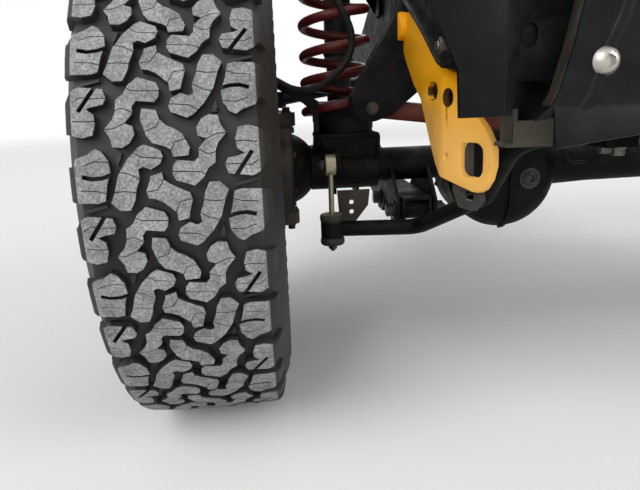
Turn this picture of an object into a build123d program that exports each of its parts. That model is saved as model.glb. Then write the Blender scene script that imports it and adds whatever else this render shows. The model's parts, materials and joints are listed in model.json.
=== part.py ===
"""Front end of a lifted off-road 4x4: frame front, live axle, steering, coil suspension and both wheels.

Everything is drawn about the axle: X across (minus X is the vehicle's right), Y to the rear, Z up, with zero
at the middle of the axle. The finished pieces are then moved so that the origin is the centre of the rear
crossmember's rear face, where the assembly is bolted to whatever carries it.
"""
from build123d import *
from math import cos, hypot, radians, sin, sqrt, tan
import os

# Place of the axle, seen from the origin
AXLE_AHEAD = 640
AXLE_BELOW = 165

# Wheel and tyre
HALF_TRACK = 697.5
TYRE_R = 354
TYRE_W = 221
TREAD_W = 183
BEAD_R = 203
RIM_W = 165

# Steering: kingpins stand straight up, and both arms point to the rear
KINGPIN_X = HALF_TRACK - 110
ARM_Y = 150
TIE_ROD_Z = -27
DRAG_LINK_Z = 98
PITMAN_X = 232
PITMAN_Z = 238

# Axle housing
TUBE_R = 26
SLEEVE_R = 35
BALL_R = 57
SHELL_R = 72
DIFF_X = -245
DIFF_Z = -18.5
DIFF_R = 84
PINION_TILT = 16

# Frame rails: a box section, high over the axle
RAIL_X = 382
RAIL_W = 58
RAIL_H = 100
RAIL_WALL = 3.5
RAIL_LINE = [(-400, 222), (150, 222), (300, 165), (640, 165)]

RAIL_FOOT = RAIL_LINE[0][1] - RAIL_H / 2
RAIL_HEAD = RAIL_LINE[0][1] + RAIL_H / 2

# Suspension
COIL_X = HALF_TRACK - 200
COIL_R = 47
COIL_WIRE = 10.5
COIL_PITCH = 46
COIL_HALF_TURNS = 10
COIL_FOOT = 89
COIL_TOP = COIL_FOOT + COIL_WIRE + COIL_PITCH / 2 * COIL_HALF_TURNS + 0.6
ARM_X = 388
SHOCK_X = HALF_TRACK - 215
SHOCK_Y = 84
SWAY_R = 11.5
LINK_X = HALF_TRACK - 181
LINK_Y = -75
LINK_EYE_Z = 12
SWAY_Y = -290
SWAY_Z = 62
LATERAL_Y = -95
LATERAL_PLATES = (-117, -79)
LATERAL_ENDS = [(-460.5, 90), (330, -14)]

# Tow hooks: the plate lies on the rail and its nose turns inwards
HOOK_T = 6.5
HOOK_FOLD_Y = -297
HOOK_TURN = 20
TOW_EYE_Y = -348

# Bumper: its face, and the plane where it meets the ends of the rails
BUMPER_FACE = -440
BUMPER_BACK = -404.3
BUMPER_TOP = 262

# Brake hoses
HOSE_R = 5
PIPE_R = 3

# Outer and inner faces of a rail
RAIL_OUT = RAIL_X + RAIL_W / 2
RAIL_IN = RAIL_X - RAIL_W / 2

# Gap between pieces that rest on each other
SEAT = 0.3


def rod(start, end, radius):
    """A round bar from one point to another."""
    line = Vector(*end) - Vector(*start)
    foot = Plane(origin=start, z_dir=line)
    return foot * Cylinder(radius, line.length, align=(Align.CENTER, Align.CENTER, Align.MIN))


def along_x(radius, x0, x1, y=0.0, z=0.0):
    return rod((x0, y, z), (x1, y, z), radius)


def along_y(radius, y0, y1, x=0.0, z=0.0):
    return rod((x, y0, z), (x, y1, z), radius)


def along_z(radius, z0, z1, x=0.0, y=0.0):
    return rod((x, y, z0), (x, y, z1), radius)


def block(x0, x1, y0, y1, z0, z1):
    """A box between two corners."""
    middle = Pos((x0 + x1) / 2, (y0 + y1) / 2, (z0 + z1) / 2)
    return middle * Box(abs(x1 - x0), abs(y1 - y0), abs(z1 - z0))


def side_plate(outline, x0, x1):
    """A plate cut to an outline of (y, z) points, from x0 to x1."""
    face = make_face(Polyline(*[(x0, y, z) for y, z in outline], close=True))
    return extrude(face, amount=x1 - x0, dir=(1, 0, 0))


def front_plate(outline, y0, y1):
    """A plate cut to an outline of (x, z) points, from y0 to y1."""
    face = make_face(Polyline(*[(x, y0, z) for x, z in outline], close=True))
    return extrude(face, amount=y1 - y0, dir=(0, 1, 0))


def ring_profile(points):
    """A body of revolution about the X axis, from (x, radius) points."""
    face = make_face(Polyline(*[(x, 0, r) for x, r in points], close=True))
    return revolve(face, Axis.X)


def strip(line, height, bend, x0, x1):
    """A bar of even height that follows a bent (y, z) line, from x0 to x1."""
    path = FilletPolyline(*line, radius=bend)
    face = trace(path, height)
    return Plane(origin=(x0, 0, 0), x_dir=(0, 1, 0), z_dir=(1, 0, 0)) * extrude(face, amount=x1 - x0)


def tube_path(points, bend, radius):
    """A round bar along straight runs joined by tangent arcs."""
    path = FilletPolyline(*points, radius=bend)
    return sweep(Plane(origin=path @ 0, z_dir=path % 0) * Circle(radius), path=path)


def joined(solids):
    """One solid from several that overlap."""
    whole = solids[0]
    for solid in solids[1:]:
        whole += solid
    return whole


def to_left(shape):
    """The same piece on the vehicle's left."""
    return mirror(shape, about=Plane.YZ)


def wheel_place(shape):
    """From a wheel drawn about the origin, outside towards minus X, to the right wheel's place."""
    return Pos(-HALF_TRACK, 0, 0) * shape


def tyre():
    """Tyre carcass with its crown, shoulders, sidewalls and beads, open to the rim."""
    half = TYRE_W / 2
    tread = TREAD_W / 2
    edge = RIM_W / 2
    outer = Polyline((-tread, 0, TYRE_R - 3), (0, 0, TYRE_R), (tread, 0, TYRE_R - 3))
    shoulder_r = ThreePointArc((tread, 0, TYRE_R - 3), (tread + 8, 0, TYRE_R - 18), (tread + 10, 0, TYRE_R - 40))
    side_r = ThreePointArc((tread + 10, 0, TYRE_R - 40), (half, 0, 285), (edge + 10, 0, BEAD_R + 18.5))
    bead_r = Polyline((edge + 10, 0, BEAD_R + 18.5), (edge - 0.6, 0, BEAD_R + 17), (edge - 0.6, 0, BEAD_R + 2.5),
                      (edge - 4, 0, BEAD_R + 0.4), (edge - 18, 0, BEAD_R + 0.4), (edge - 14, 0, BEAD_R + 20))
    inner_r = Polyline((edge - 14, 0, BEAD_R + 20), (half - 13, 0, 285), (tread - 8, 0, TYRE_R - 26))
    lining = Line((tread - 8, 0, TYRE_R - 26), (8 - tread, 0, TYRE_R - 26))
    right = [shoulder_r, side_r, bead_r, inner_r]
    left = [mirror(edge, about=Plane.YZ) for edge in right]
    return revolve(make_face(Curve() + [outer, lining] + right + left), Axis.X)


def rim():
    """Rim barrel with a drop centre and flanges, and a dished disc with eight windows."""
    edge = RIM_W / 2
    outer = [(-edge - 9, 219), (-edge - 2, 219), (-edge, 205), (-edge + 2, BEAD_R), (-edge + 26, BEAD_R - 1),
             (-edge + 40, 184), (20, 184), (edge - 24, BEAD_R - 1), (edge - 2, BEAD_R), (edge, 205),
             (edge + 2, 219), (edge + 9, 219)]
    inner = [(edge + 9, 213), (edge + 5, 198), (edge - 22, 194), (22, 177), (-edge + 38, 177),
             (-edge + 22, 194), (-edge - 5, 198), (-edge - 9, 213)]
    barrel = ring_profile(outer + inner)
    disc = ring_profile([(-9, 55), (-9, 88), (-40, 122), (-44, 178.5), (-34, 178.5), (-31, 126), (0, 92), (0, 55)])
    window = Pos(-40, 0, 0) * extrude(Plane.YZ * Pos(150, 0) * RectangleRounded(34, 48, 12), amount=50, both=True)
    for spoke in range(8):
        disc -= Rot(X=360 / 8 * (spoke + 0.5)) * window
    return barrel + disc


def hub():
    """Wheel hub, brake disc with its hat, five studs' flange and the locking hub cap."""
    flange = ring_profile([(0, 27), (0, 76), (11, 76), (11, 49), (33, 49), (33, 27)])
    disc = ring_profile([(11.3, 50), (11.3, 82), (38, 82), (38, 128), (52, 128), (52, 74), (20, 74), (20, 50)])
    cap = ring_profile([(-0.3, 27), (-0.3, 53), (-30, 53), (-62, 46), (-68, 40), (-68, 0), (-60, 0), (-60, 30),
                        (-24, 34), (-24, 27)])
    return [flange + cap, disc]


def ball_zone(radius, x0, x1):
    """Curved edge of a ball of this radius about the origin, between two planes across X."""
    middle = (x0 + x1) / 2
    return ThreePointArc(*[(x, 0, sqrt(radius ** 2 - x ** 2)) for x in (x0, middle, x1)])


def ball_shell(outer_r, inner_r, x0, x1):
    """Hollow zone of a ball, turned about X."""
    outer = ball_zone(outer_r, x0, x1)
    inner = ball_zone(inner_r, x0, x1)
    face = make_face(Curve() + [outer, Line(outer @ 1, inner @ 1), inner, Line(inner @ 0, outer @ 0)])
    return revolve(face, Axis.X)


def knuckle(drag_arm):
    """Closed steering knuckle: a hollow ball turning about the axle's end ball, with kingpin bosses, spindle,
    steering arms, and the brake caliper on its bracket."""
    body = ball_shell(SHELL_R, SHELL_R - 10, -61, 15)
    body += ring_profile([(-SHELL_R, 0), (-SHELL_R, 68), (-60, 68), (-60, 0)])
    body += ring_profile([(-132, 17), (-132, 25.5), (-SHELL_R, 25.5), (-SHELL_R, 17)])
    body -= along_x(17, -140, -50)
    for up in (1, -1):
        body += along_z(26, up * 66, up * 86)
        body += along_z(12, up * 46, up * 70)
    body += block(-13, 13, 60, ARM_Y, -13, 2) + along_z(17, -13, 2, 0, ARM_Y)
    if drag_arm:
        body += block(-13, 13, 0, ARM_Y, 70, 86) + along_z(17, 70, 86, 0, ARM_Y)
    body += block(-52, -44, -150, -50, 30, 80)
    caliper = block(-90, -44, -148, -88, 20, 84) - block(-77, -53, -134, -80, 10, 100)
    return [Pos(-KINGPIN_X, 0, 0) * (body + caliper)]


def diff_dome(proud):
    """Rounded front of the differential housing, turned about Y and standing proud of its true size."""
    r = DIFF_R + proud
    flank = ThreePointArc((r, 0, 0), (r - 13, -24, 0), (r - 42, -39 - proud, 0))
    rest = Polyline((r - 42, -39 - proud, 0), (0, -43 - proud, 0), (0, 0, 0), (r, 0, 0))
    return Pos(DIFF_X, -34.9, DIFF_Z) * revolve(make_face(Curve() + [flank, rest]), Axis.Y)


def axle_housing():
    """Axle tubes, hollow balls for the knuckles and the differential housing with its domed, ribbed front."""
    housing = along_x(TUBE_R, -KINGPIN_X + 60, KINGPIN_X - 60)
    for side in (-1, 1):
        ball = Sphere(BALL_R) - Sphere(BALL_R - 9)
        ball -= block(side * 38, side * 60, -60, 60, -60, 60)
        ball -= along_z(13.5, -70, 70)
        neck = Rot(Y=-90 * side) * Pos(0, 0, 47) * Cone(34, TUBE_R, 50, align=(Align.CENTER, Align.CENTER, Align.MIN))
        housing += Pos(side * KINGPIN_X, 0, 0) * (ball + neck)
        housing += along_x(SLEEVE_R, side * (KINGPIN_X - 47), side * 437)
    drum = along_y(DIFF_R, -35, 35, DIFF_X, DIFF_Z)
    rib = diff_dome(4) & block(DIFF_X - 3, DIFF_X + 3, -90, -30, DIFF_Z - 88, DIFF_Z + 88)
    return [housing + drum + diff_dome(0) + rib]


def differential_carrier():
    """Bolted flange and cone at the rear of the differential housing."""
    cone = Cone(DIFF_R - 8, 56, 40, align=(Align.CENTER, Align.CENTER, Align.MIN))
    return [along_y(DIFF_R, 35 + SEAT, 46, DIFF_X, DIFF_Z) + Pos(DIFF_X, 45, DIFF_Z) * Rot(X=-90) * cone]


def pinion_housing():
    """Tilted nose round the pinion, and the propeller shaft's flange with four holes."""
    place = Pos(DIFF_X, 50, 8) * Rot(X=-90 + PINION_TILT)
    nose = place * Cone(46, 34, 120, align=(Align.CENTER, Align.CENTER, Align.MIN))
    nose -= along_y(110, 0, 85 + SEAT, DIFF_X, DIFF_Z)
    flange = Cylinder(24, 20, align=(Align.CENTER, Align.CENTER, Align.MIN))
    flange += Pos(0, 0, 14) * Cylinder(48, 9, align=(Align.CENTER, Align.CENTER, Align.MIN))
    for k in range(4):
        flange -= Rot(Z=90 * k + 45) * Pos(38, 0, 0) * Cylinder(5, 60)
    return [nose, place * Pos(0, 0, 120.3) * flange]


def hose_bracket():
    """Steel strip from the axle tube up to the union of the brake hose."""
    side = [(-18, 22), (-46, 36), (-67, 60), (-67, 98), (-63, 98), (-63, 62), (-42, 42), (-14, 26)]
    strip = [(-530, 86), (-530, 102), (-546, 111), (-614, 151), (-622, 159), (-629, 155), (-626, 143), (-551, 99),
             (-538, 86)]
    return side_plate(side, -538, -530) + front_plate(strip, -67, -63)


def axle_brackets():
    """Plates welded to the axle tube: pairs for the radius arms, the dampers and the lateral rod's left end."""
    arm_plate = [(-74, -84), (-30, -84), (-20, -60), (20, -60), (42, -84), (84, -84), (84, -46), (24, 0),
                 (-24, 0), (-74, -46)]
    plates = []
    for side in (-1, 1):
        plates += [side_plate(arm_plate, side * x, side * (x + 5)) for x in (ARM_X - 31, ARM_X + 26)]
        plates += [block(side * x, side * (x + 5), 18, 100, -48, -16) for x in (SHOCK_X - 21, SHOCK_X + 16)]
        plates.append(hose_bracket() if side < 0 else to_left(hose_bracket()))
    rod_plate = [(312, 20), (347, 20), (350, -30), (338, -40), (318, -40), (310, -30)]
    holder = [front_plate(rod_plate, y, y + 6) for y in LATERAL_PLATES]
    plates.append(joined(holder + [block(312, 347, LATERAL_PLATES[0], 0, 12.5, 20)]))
    tube = along_x(TUBE_R + SEAT, -480, 480)
    for side in (-1, 1):
        tube += along_x(SLEEVE_R + SEAT, side * 436, side * KINGPIN_X)
        tube += Pos(side * KINGPIN_X, 0, 0) * Sphere(BALL_R + SEAT)
    return [plate - tube for plate in plates]


def rail():
    """Right frame rail, a hollow box that rises over the axle."""
    x0 = -RAIL_X - RAIL_W / 2
    x1 = -RAIL_X + RAIL_W / 2
    outer = strip(RAIL_LINE, RAIL_H, 120, x0, x1)
    longer = [(-410, RAIL_LINE[0][1])] + RAIL_LINE[1:-1] + [(650, RAIL_LINE[-1][1])]
    inner = strip(longer, RAIL_H - 2 * RAIL_WALL, 120, x0 + RAIL_WALL, x1 - RAIL_WALL)
    return [outer - inner]


def front_crossmember():
    end = RAIL_IN - SEAT
    return [along_x(30, -end, end, -330, 222) - along_x(26, -end - 1, end + 1, -330, 222)]


def rear_crossmember():
    end = RAIL_IN - SEAT
    beam = block(-end, end, 570, 640, 125, 205) - block(-end - 1, end + 1, 574, 636, 129, 201)
    for hole_x in (-240, 240):
        for hole_z in (AXLE_BELOW - 22, AXLE_BELOW + 22):
            beam -= along_y(6.5, 630, 645, hole_x, hole_z)
    return [beam]


def spring_tower():
    """Cup over the coil, carried by a boxed arm from the rail."""
    hose_tab = block(-545, -506, -86, -45, 314, 318)
    cup = along_z(59, COIL_TOP - 22, COIL_TOP + 4, -COIL_X) + hose_tab
    cup -= along_z(55, COIL_TOP - 23, COIL_TOP, -COIL_X) + along_z(9, 300, 325, -531, -75)
    arm = block(-RAIL_OUT - 38, -RAIL_IN, -34, 34, RAIL_HEAD + SEAT, COIL_TOP + 4)
    arm -= block(-RAIL_OUT - 60, -RAIL_IN - 4, -30, 30, RAIL_HEAD - 12, COIL_TOP)
    arm -= along_z(57, 200, COIL_TOP + 9, -COIL_X)
    return [cup + arm - along_z(12, COIL_TOP - 10, COIL_TOP + 10, -COIL_X)]


def bump_stop():
    return [along_z(14, 262, 300, -COIL_X) + along_z(24, 280, COIL_TOP - SEAT, -COIL_X)]


def spring_seat():
    """Saddle over the axle tube with a round plate on top, and a lug for the stabiliser link in front."""
    plate = along_z(48, 45, 57, -COIL_X)
    saddle = block(-COIL_X - 30, -COIL_X + 30, -40, 40, 6, 50) - block(-COIL_X - 40, -COIL_X + 40, -34, 34, 0, 44)
    saddle -= along_x(SLEEVE_R + SEAT, -COIL_X - 60, -COIL_X + 60)
    lug = block(-LINK_X + 8, -LINK_X + 14, LINK_Y - 14, -36, LINK_EYE_Z - 6, LINK_EYE_Z + 14)
    spacer = along_z(36, 57 + SEAT, 85, -COIL_X) + along_z(50, 85, COIL_FOOT, -COIL_X) + along_z(38, 85, 98, -COIL_X)
    return [plate + saddle + lug, spacer]


def coil_spring():
    """Coil wound of half-turn arcs, each rising by half the pitch."""
    z = COIL_FOOT + COIL_WIRE / 2 + 0.3
    rise = COIL_PITCH / 2
    edges = []
    for k in range(COIL_HALF_TURNS):
        near = COIL_R if k % 2 == 0 else -COIL_R
        side = 1 if k % 2 == 0 else -1
        low = z + k * rise
        arm = hypot(COIL_R, rise / 2)
        edges.append(ThreePointArc((near, 0, low), (0, side * arm, low + rise / 2), (-near, 0, low + rise)))
    path = Wire(edges)
    section = Plane(origin=path @ 0, z_dir=path % 0) * Circle(COIL_WIRE / 2)
    return [Pos(-COIL_X, 0, 0) * sweep(section, path=path)]


def shock_absorber():
    eye = along_x(17, -SHOCK_X - 14, -SHOCK_X + 14, SHOCK_Y, -28) - along_x(6, -SHOCK_X - 20, -SHOCK_X + 20, SHOCK_Y, -28)
    body = along_z(20, -14, 165, -SHOCK_X, SHOCK_Y)
    shaft = along_z(7, 160, 322, -SHOCK_X, SHOCK_Y)
    cover = along_z(22, 190, 288, -SHOCK_X, SHOCK_Y) - along_z(20, 180, 284, -SHOCK_X, SHOCK_Y)
    return [eye + body + shaft + cover]


def shock_bracket():
    inner = -RAIL_OUT - SEAT
    plate = block(-SHOCK_X - 22, inner, SHOCK_Y - 20, SHOCK_Y + 22, 300, 305)
    plate -= along_z(8, 290, 310, -SHOCK_X, SHOCK_Y)
    web = side_plate([(SHOCK_Y - 20, 230), (SHOCK_Y + 22, 230), (SHOCK_Y + 22, 302), (SHOCK_Y - 20, 302)],
                     inner - 6, inner)
    rib = front_plate([(inner - 4, 232), (inner - 4, 302), (-SHOCK_X + 25, 302)], SHOCK_Y + 16, SHOCK_Y + 21)
    return [plate + web + rib]


def radius_arm():
    """Pressed channel, open below, from two bushes under the axle back to the frame."""
    line = [(-76, -62), (170, -62), (560, 34)]
    outer = strip(line, 38, 160, -ARM_X - 22, -ARM_X + 22)
    longer = [(-90, -66), (170, -66), (575, 34)]
    inner = strip(longer, 38, 160, -ARM_X - 18, -ARM_X + 18)
    arm = outer - inner
    arm += along_x(22, -ARM_X - 22, -ARM_X + 22, 560, 34)
    for y in (-52, 62):
        arm += along_x(15, -ARM_X - 24, -ARM_X + 24, y, -64)
    return [arm]


def arm_bracket():
    """Frame bracket for the rear end of a radius arm."""
    cheek = [(525, 114.7), (595, 114.7), (582, 22), (560, 10), (538, 22)]
    cheeks = [side_plate(cheek, x, x + 5) for x in (-ARM_X - 33, -ARM_X + 28)]
    roof = block(-ARM_X - 33, -ARM_X + 33, 525, 595, 109, 114.7)
    pin = along_x(7, -ARM_X - 38, -ARM_X + 38, 560, 34)
    return [joined(cheeks + [roof, pin]) - along_x(22.3, -ARM_X - 22.3, -ARM_X + 22.3, 560, 34)]


def lateral_rod():
    """Rod from the frame on the right to the axle on the left, with an eye at each end."""
    bar = rod(*[(x, LATERAL_Y, z) for x, z in LATERAL_ENDS], 13)
    for x, z in LATERAL_ENDS:
        bar += along_y(23, LATERAL_Y - 15.5, LATERAL_Y + 15.5, x, z)
        bar -= along_y(6.5, LATERAL_Y - 30, LATERAL_Y + 30, x, z)
    return [bar]


def lateral_rod_bracket():
    """Two hanging plates with round ends, welded to the rail above the tow hook."""
    bolt_x, bolt_z = LATERAL_ENDS[0]
    front, rear = LATERAL_PLATES[0], LATERAL_PLATES[1] + 6
    wall = -RAIL_OUT - SEAT
    outline = [(bolt_x - 26.5, bolt_z + 6), (-440, 228), (-434, 262), (wall, 262), (wall, 226), (-431, 218),
               (-431, 186), (-421, 167), (-408, 162), (-398, 114), (-394, 94), (-420, 83), (bolt_x + 8, bolt_z - 25.5)]
    plates = [front_plate(outline, y, y + 6) + along_y(27, y, y + 6, bolt_x, bolt_z) for y in LATERAL_PLATES]
    side = [(bolt_x - 26, bolt_z + 8), (bolt_x - 22, bolt_z + 8), (-436, 228), (-430, 262), (-434, 262), (-440, 228)]
    ties = [block(wall - 6, wall, front, rear, 226, 262), front_plate(side, front, rear)]
    bolt = along_y(6, front - 8, rear + 12, bolt_x, bolt_z)
    return [joined(plates + ties + [bolt])]


def stabiliser_bar():
    """Bar across the frame whose arms run back to the links on the axle."""
    right = [(-LINK_X + 10, LINK_Y, -84), (-391, -90, -84), (-337, -215, -20), (-334, SWAY_Y, SWAY_Z - 10),
             (-270, SWAY_Y - 8, SWAY_Z)]
    left = [(-x, y, z) for x, y, z in reversed(right)]
    bar = tube_path(right + left, 30, SWAY_R)
    for side in (-1, 1):
        bar += along_z(17, -96, -72, side * LINK_X, LINK_Y)
        bar -= along_z(6.5, -110, -60, side * LINK_X, LINK_Y)
    return [bar]


def stabiliser_link():
    """Upright rod with an eye at the axle and a pair of rubber discs at the bar."""
    discs = [(-106, -96.3, 16), (-71.7, -61, 16)]
    stem = along_z(4, -112, 0, -LINK_X, LINK_Y)
    eye = along_x(15, -LINK_X - 7, -LINK_X + 7, LINK_Y, LINK_EYE_Z)
    return [joined([stem, eye] + [along_z(r, low, high, -LINK_X, LINK_Y) for low, high, r in discs])]


def stabiliser_mount():
    """Clamp round the bar, and the folded plate that hangs it from the rail's front end."""
    x0, x1 = -245, -210
    y = SWAY_Y - 8
    y0, y1 = y - 20, y + 20
    low, high = SWAY_Z + 20, SWAY_Z + 26
    clamp = block(x0, x1, y0, y1, SWAY_Z - 18, low) - along_x(SWAY_R + SEAT, x0 - 5, x1 + 5, y, SWAY_Z)
    shelf = block(-RAIL_IN, x1, y0, y1, low, high)
    hanger = block(-RAIL_IN - 6, -RAIL_IN, y0, y1, low, RAIL_FOOT - SEAT)
    flange = block(-RAIL_OUT + 6, -RAIL_IN, y0, y1, RAIL_FOOT - 6, RAIL_FOOT - SEAT)
    return [clamp + shelf + hanger + flange]


def hook_sheet(inset, thick):
    """Sheet on the rail's outer side whose front part turns inwards, seen from above and made tall."""
    turn = radians(HOOK_TURN)
    start = Vector(-RAIL_OUT - SEAT + inset - thick / 2, -60)
    fold = Vector(-RAIL_OUT - SEAT + inset - thick / 2, HOOK_FOLD_Y)
    end = fold + Vector(sin(turn), -cos(turn)) * 130
    plan = trace(FilletPolyline(start, fold, end, radius=30), thick)
    return Pos(0, 0, -60) * extrude(plan, amount=320)


def side_slots(places, length, width):
    """Slots cut through across X, each at (y, z) and lying along Y."""
    cuts = []
    for y, z in places:
        slot = Plane(origin=(-RAIL_IN, y, z), x_dir=(0, 1, 0), z_dir=(-1, 0, 0)) * SlotOverall(length, width)
        cuts.append(extrude(slot, amount=80))
    return joined(cuts)


def tow_hook():
    """Thick hook plate bolted to the rail, bent inwards at its nose, with a rounded eye in the nose."""
    rim = [(-371, 45), (-359, 77), (-348, 89), (-319, 126), (-283, 138), (-171, 202), (-118, 210), (-99, 202),
           (-99, 181), (-126, 169), (-172, 130), (-217, 102), (-244, 80), (-276, 46), (-301, 23), (-348, 10)]
    edge = Polyline(*[(-RAIL_IN, y, z) for y, z in rim])
    nose = ThreePointArc(edge @ 1, (-RAIL_IN, -366, 19), edge @ 0)
    outline = extrude(make_face(Curve() + [edge, nose]), amount=90, dir=(-1, 0, 0))
    plate = hook_sheet(0, HOOK_T) & outline
    eye = Plane(origin=(-RAIL_IN, TOW_EYE_Y, 42), x_dir=(0, 1, 0), z_dir=(-1, 0, 0)) * RectangleRounded(30, 34, 11)
    plate -= extrude(eye, amount=90)
    plate -= side_slots([(-263, 110)], 27, 17) + side_slots([(-309, 102)], 20, 18)
    plate -= along_x(4, -RAIL_OUT - 20, -RAIL_IN, -313, 42)
    face = -RAIL_OUT - SEAT - HOOK_T
    plate += along_x(18, face - 8, face, -115, 193)
    return [plate]


def tie_down_eye():
    """Smaller hanging eye behind the tow hook."""
    outline = [(-305, 92), (-307, 5), (-316, -11), (-337, -12), (-348, 0), (-346, 14), (-330, 19), (-328, 92)]
    plate = hook_sheet(6.6, 6) & side_plate(outline, -RAIL_OUT - 20, -RAIL_IN)
    return [plate - side_slots([(-329, 3)], 21, 10)]


def bumper():
    """Folded centre section with slanted ends and a lower lip that stops short of them, open to the rear."""
    half = [(240, 78), (283, 73), (359, 60), (359, 82), (378, 84), (369, 88), (354, 122), (342, 175),
            (323, BUMPER_TOP)]
    inner = [(240, 82), (284, 77), (355, 65), (355, 86), (364, 90), (350, 123), (338, 175), (319, BUMPER_TOP - 4)]
    outline = [(-x, z) for x, z in half] + list(reversed(half))
    hollow = [(-x, z) for x, z in inner] + list(reversed(inner))
    return [front_plate(outline, BUMPER_FACE, BUMPER_BACK) - front_plate(hollow, BUMPER_FACE + 4, -395)]


def bumper_stay():
    """Side plate on the rail above the tow hook, which carries the wing."""
    outline = [(-180, 268), (-180, 201), (-283, 143), (-323, 131), (-345, 108), (-430, 108), (-430, 256),
               (-398, 268)]
    return side_plate(outline, -RAIL_OUT - 6.5, -RAIL_OUT - 0.5)


def rail_end_plate():
    """Plate across the rail's front end, which carries the bumper's centre."""
    outline = [(-402, 113), (-348, 113), (-305, 180), (-305, 262), (-402, 262)]
    return front_plate(outline, BUMPER_BACK + SEAT, -400 - SEAT)


def rail_end_angle():
    """Folded angle under the rail's front end, with its face to the front and a foot to the outside."""
    face = block(-380, -342, -404, -400, 57, 79)
    foot = block(-395, -342, -404, -376, 57, 61)
    hanger = block(-380, -376, -404, -376, 57, RAIL_FOOT - SEAT)
    return face + foot + hanger


def bumper_wing():
    """Folded end of the bumper: a flaring face with a rounded outer lip and narrow flanges, open to the rear."""
    x = -408
    outer = [(-438, 86), (-446, 110), (-449, 129), (-459, 152), (-470, 178), (-486, BUMPER_TOP), (x, BUMPER_TOP), (x, 86)]
    inner = [(-434, 90), (-442, 111), (-445, 130), (-455, 153), (-466, 179), (-481, BUMPER_TOP - 4),
             (x - 3, BUMPER_TOP - 4), (x - 3, 90)]
    body = front_plate(outer, BUMPER_FACE, -414)
    lip = [edge for edge in body.edges().filter_by_position(Axis.Y, BUMPER_FACE - 0.1, BUMPER_FACE + 0.1)
           if edge.center().X < -435 and edge.center().Z < BUMPER_TOP - 1]
    return fillet(lip, 6) - front_plate(inner, BUMPER_FACE + 4, -410)


def bumper_end():
    """The separate pieces that carry and close one end of the bumper."""
    return [bumper_wing(), bumper_stay(), rail_end_plate(), rail_end_angle()]


def hose(points, radius):
    """A round hose or pipe whose every corner is an arc as large as its two runs allow."""
    bends = []
    for before, corner, after in zip(points, points[1:], points[2:]):
        into = Vector(*corner) - Vector(*before)
        out = Vector(*after) - Vector(*corner)
        half_turn = radians(into.get_angle(out)) / 2
        bends.append(0.45 * min(into.length, out.length) / tan(half_turn))
    print("bends", [round(bend, 1) for bend in bends], "for a radius of", radius)
    path = FilletPolyline(*points, radius=bends)
    return sweep(Plane(origin=path @ 0, z_dir=path % 0) * Circle(radius), path=path)


def brake_hose():
    """Hose from the spring tower down in front of the coil and out to its union over the knuckle."""
    line = [(-531, -75, 290), (-466, -75, 168), (-545, -75, 106), (-613, -75, 146)]
    ends = along_z(7, 284, 322, -531, -75) + along_z(11, 318.3, 325, -531, -75)
    ends += rod((-606, -75, 142), (-620, -75, 150), 7)
    return hose(line, HOSE_R) + ends


def axle_pipe():
    """Brake pipe from the differential housing along the front of the axle tube, held by two clips."""
    line = [(-182, -62, 50), (-150, -60, -4), (-112, -34, -8), (0, -33, 4), (210, -33, 2)]
    pipe = hose(line, PIPE_R)
    for x, z in ((-20, 2), (180, 2)):
        pipe += block(x - 4, x + 4, -38, -TUBE_R - 1, z - 7, z + 7)
    return pipe


def steering_box():
    """Steering gear on the inside of the left rail, with its drop shaft and input stub."""
    body = along_z(40, 272, 350, PITMAN_X) + block(PITMAN_X - 34, PITMAN_X + 34, -80, 60, 290, 345)
    body += block(PITMAN_X + 30, RAIL_IN - SEAT, -60, 40, 276, 340)
    body += block(RAIL_IN - 12, RAIL_IN - SEAT, -70, 50, 180, 340)
    body += along_y(14, 60, 110, PITMAN_X, 318)
    body += along_z(16, 255, 275, PITMAN_X)
    return [body]


def pitman_arm():
    arm = block(PITMAN_X - 15, PITMAN_X + 15, 0, ARM_Y, 248, 262) + along_z(27, 246, 268, PITMAN_X)
    arm += along_z(18, 248, 262, PITMAN_X, ARM_Y)
    arm -= along_z(16.5, 250, 275, PITMAN_X)
    return [arm]


def drag_link():
    a = (-KINGPIN_X, ARM_Y, DRAG_LINK_Z + 6)
    b = (PITMAN_X, ARM_Y, PITMAN_Z - 8)
    bar = rod(a, b, 11)
    bar += along_z(17, a[2] - 14, a[2] + 14, a[0], a[1]) + along_z(17, b[2] - 14, b[2] + 14, b[0], b[1])
    return [bar]


def tie_rod():
    bar = along_x(10, -KINGPIN_X, KINGPIN_X, ARM_Y, TIE_ROD_Z)
    for side in (-1, 1):
        bar += along_z(16, TIE_ROD_Z - 14, TIE_ROD_Z + 10, side * KINGPIN_X, ARM_Y)
    return [bar]


def both_sides(name, solids):
    """A right piece and its mirror image."""
    return {name + "_right": solids, name + "_left": [to_left(solid) for solid in solids]}


def pair(solids):
    """Like pieces of the two sides, kept apart in one node."""
    return solids + [to_left(solid) for solid in solids]


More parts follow.
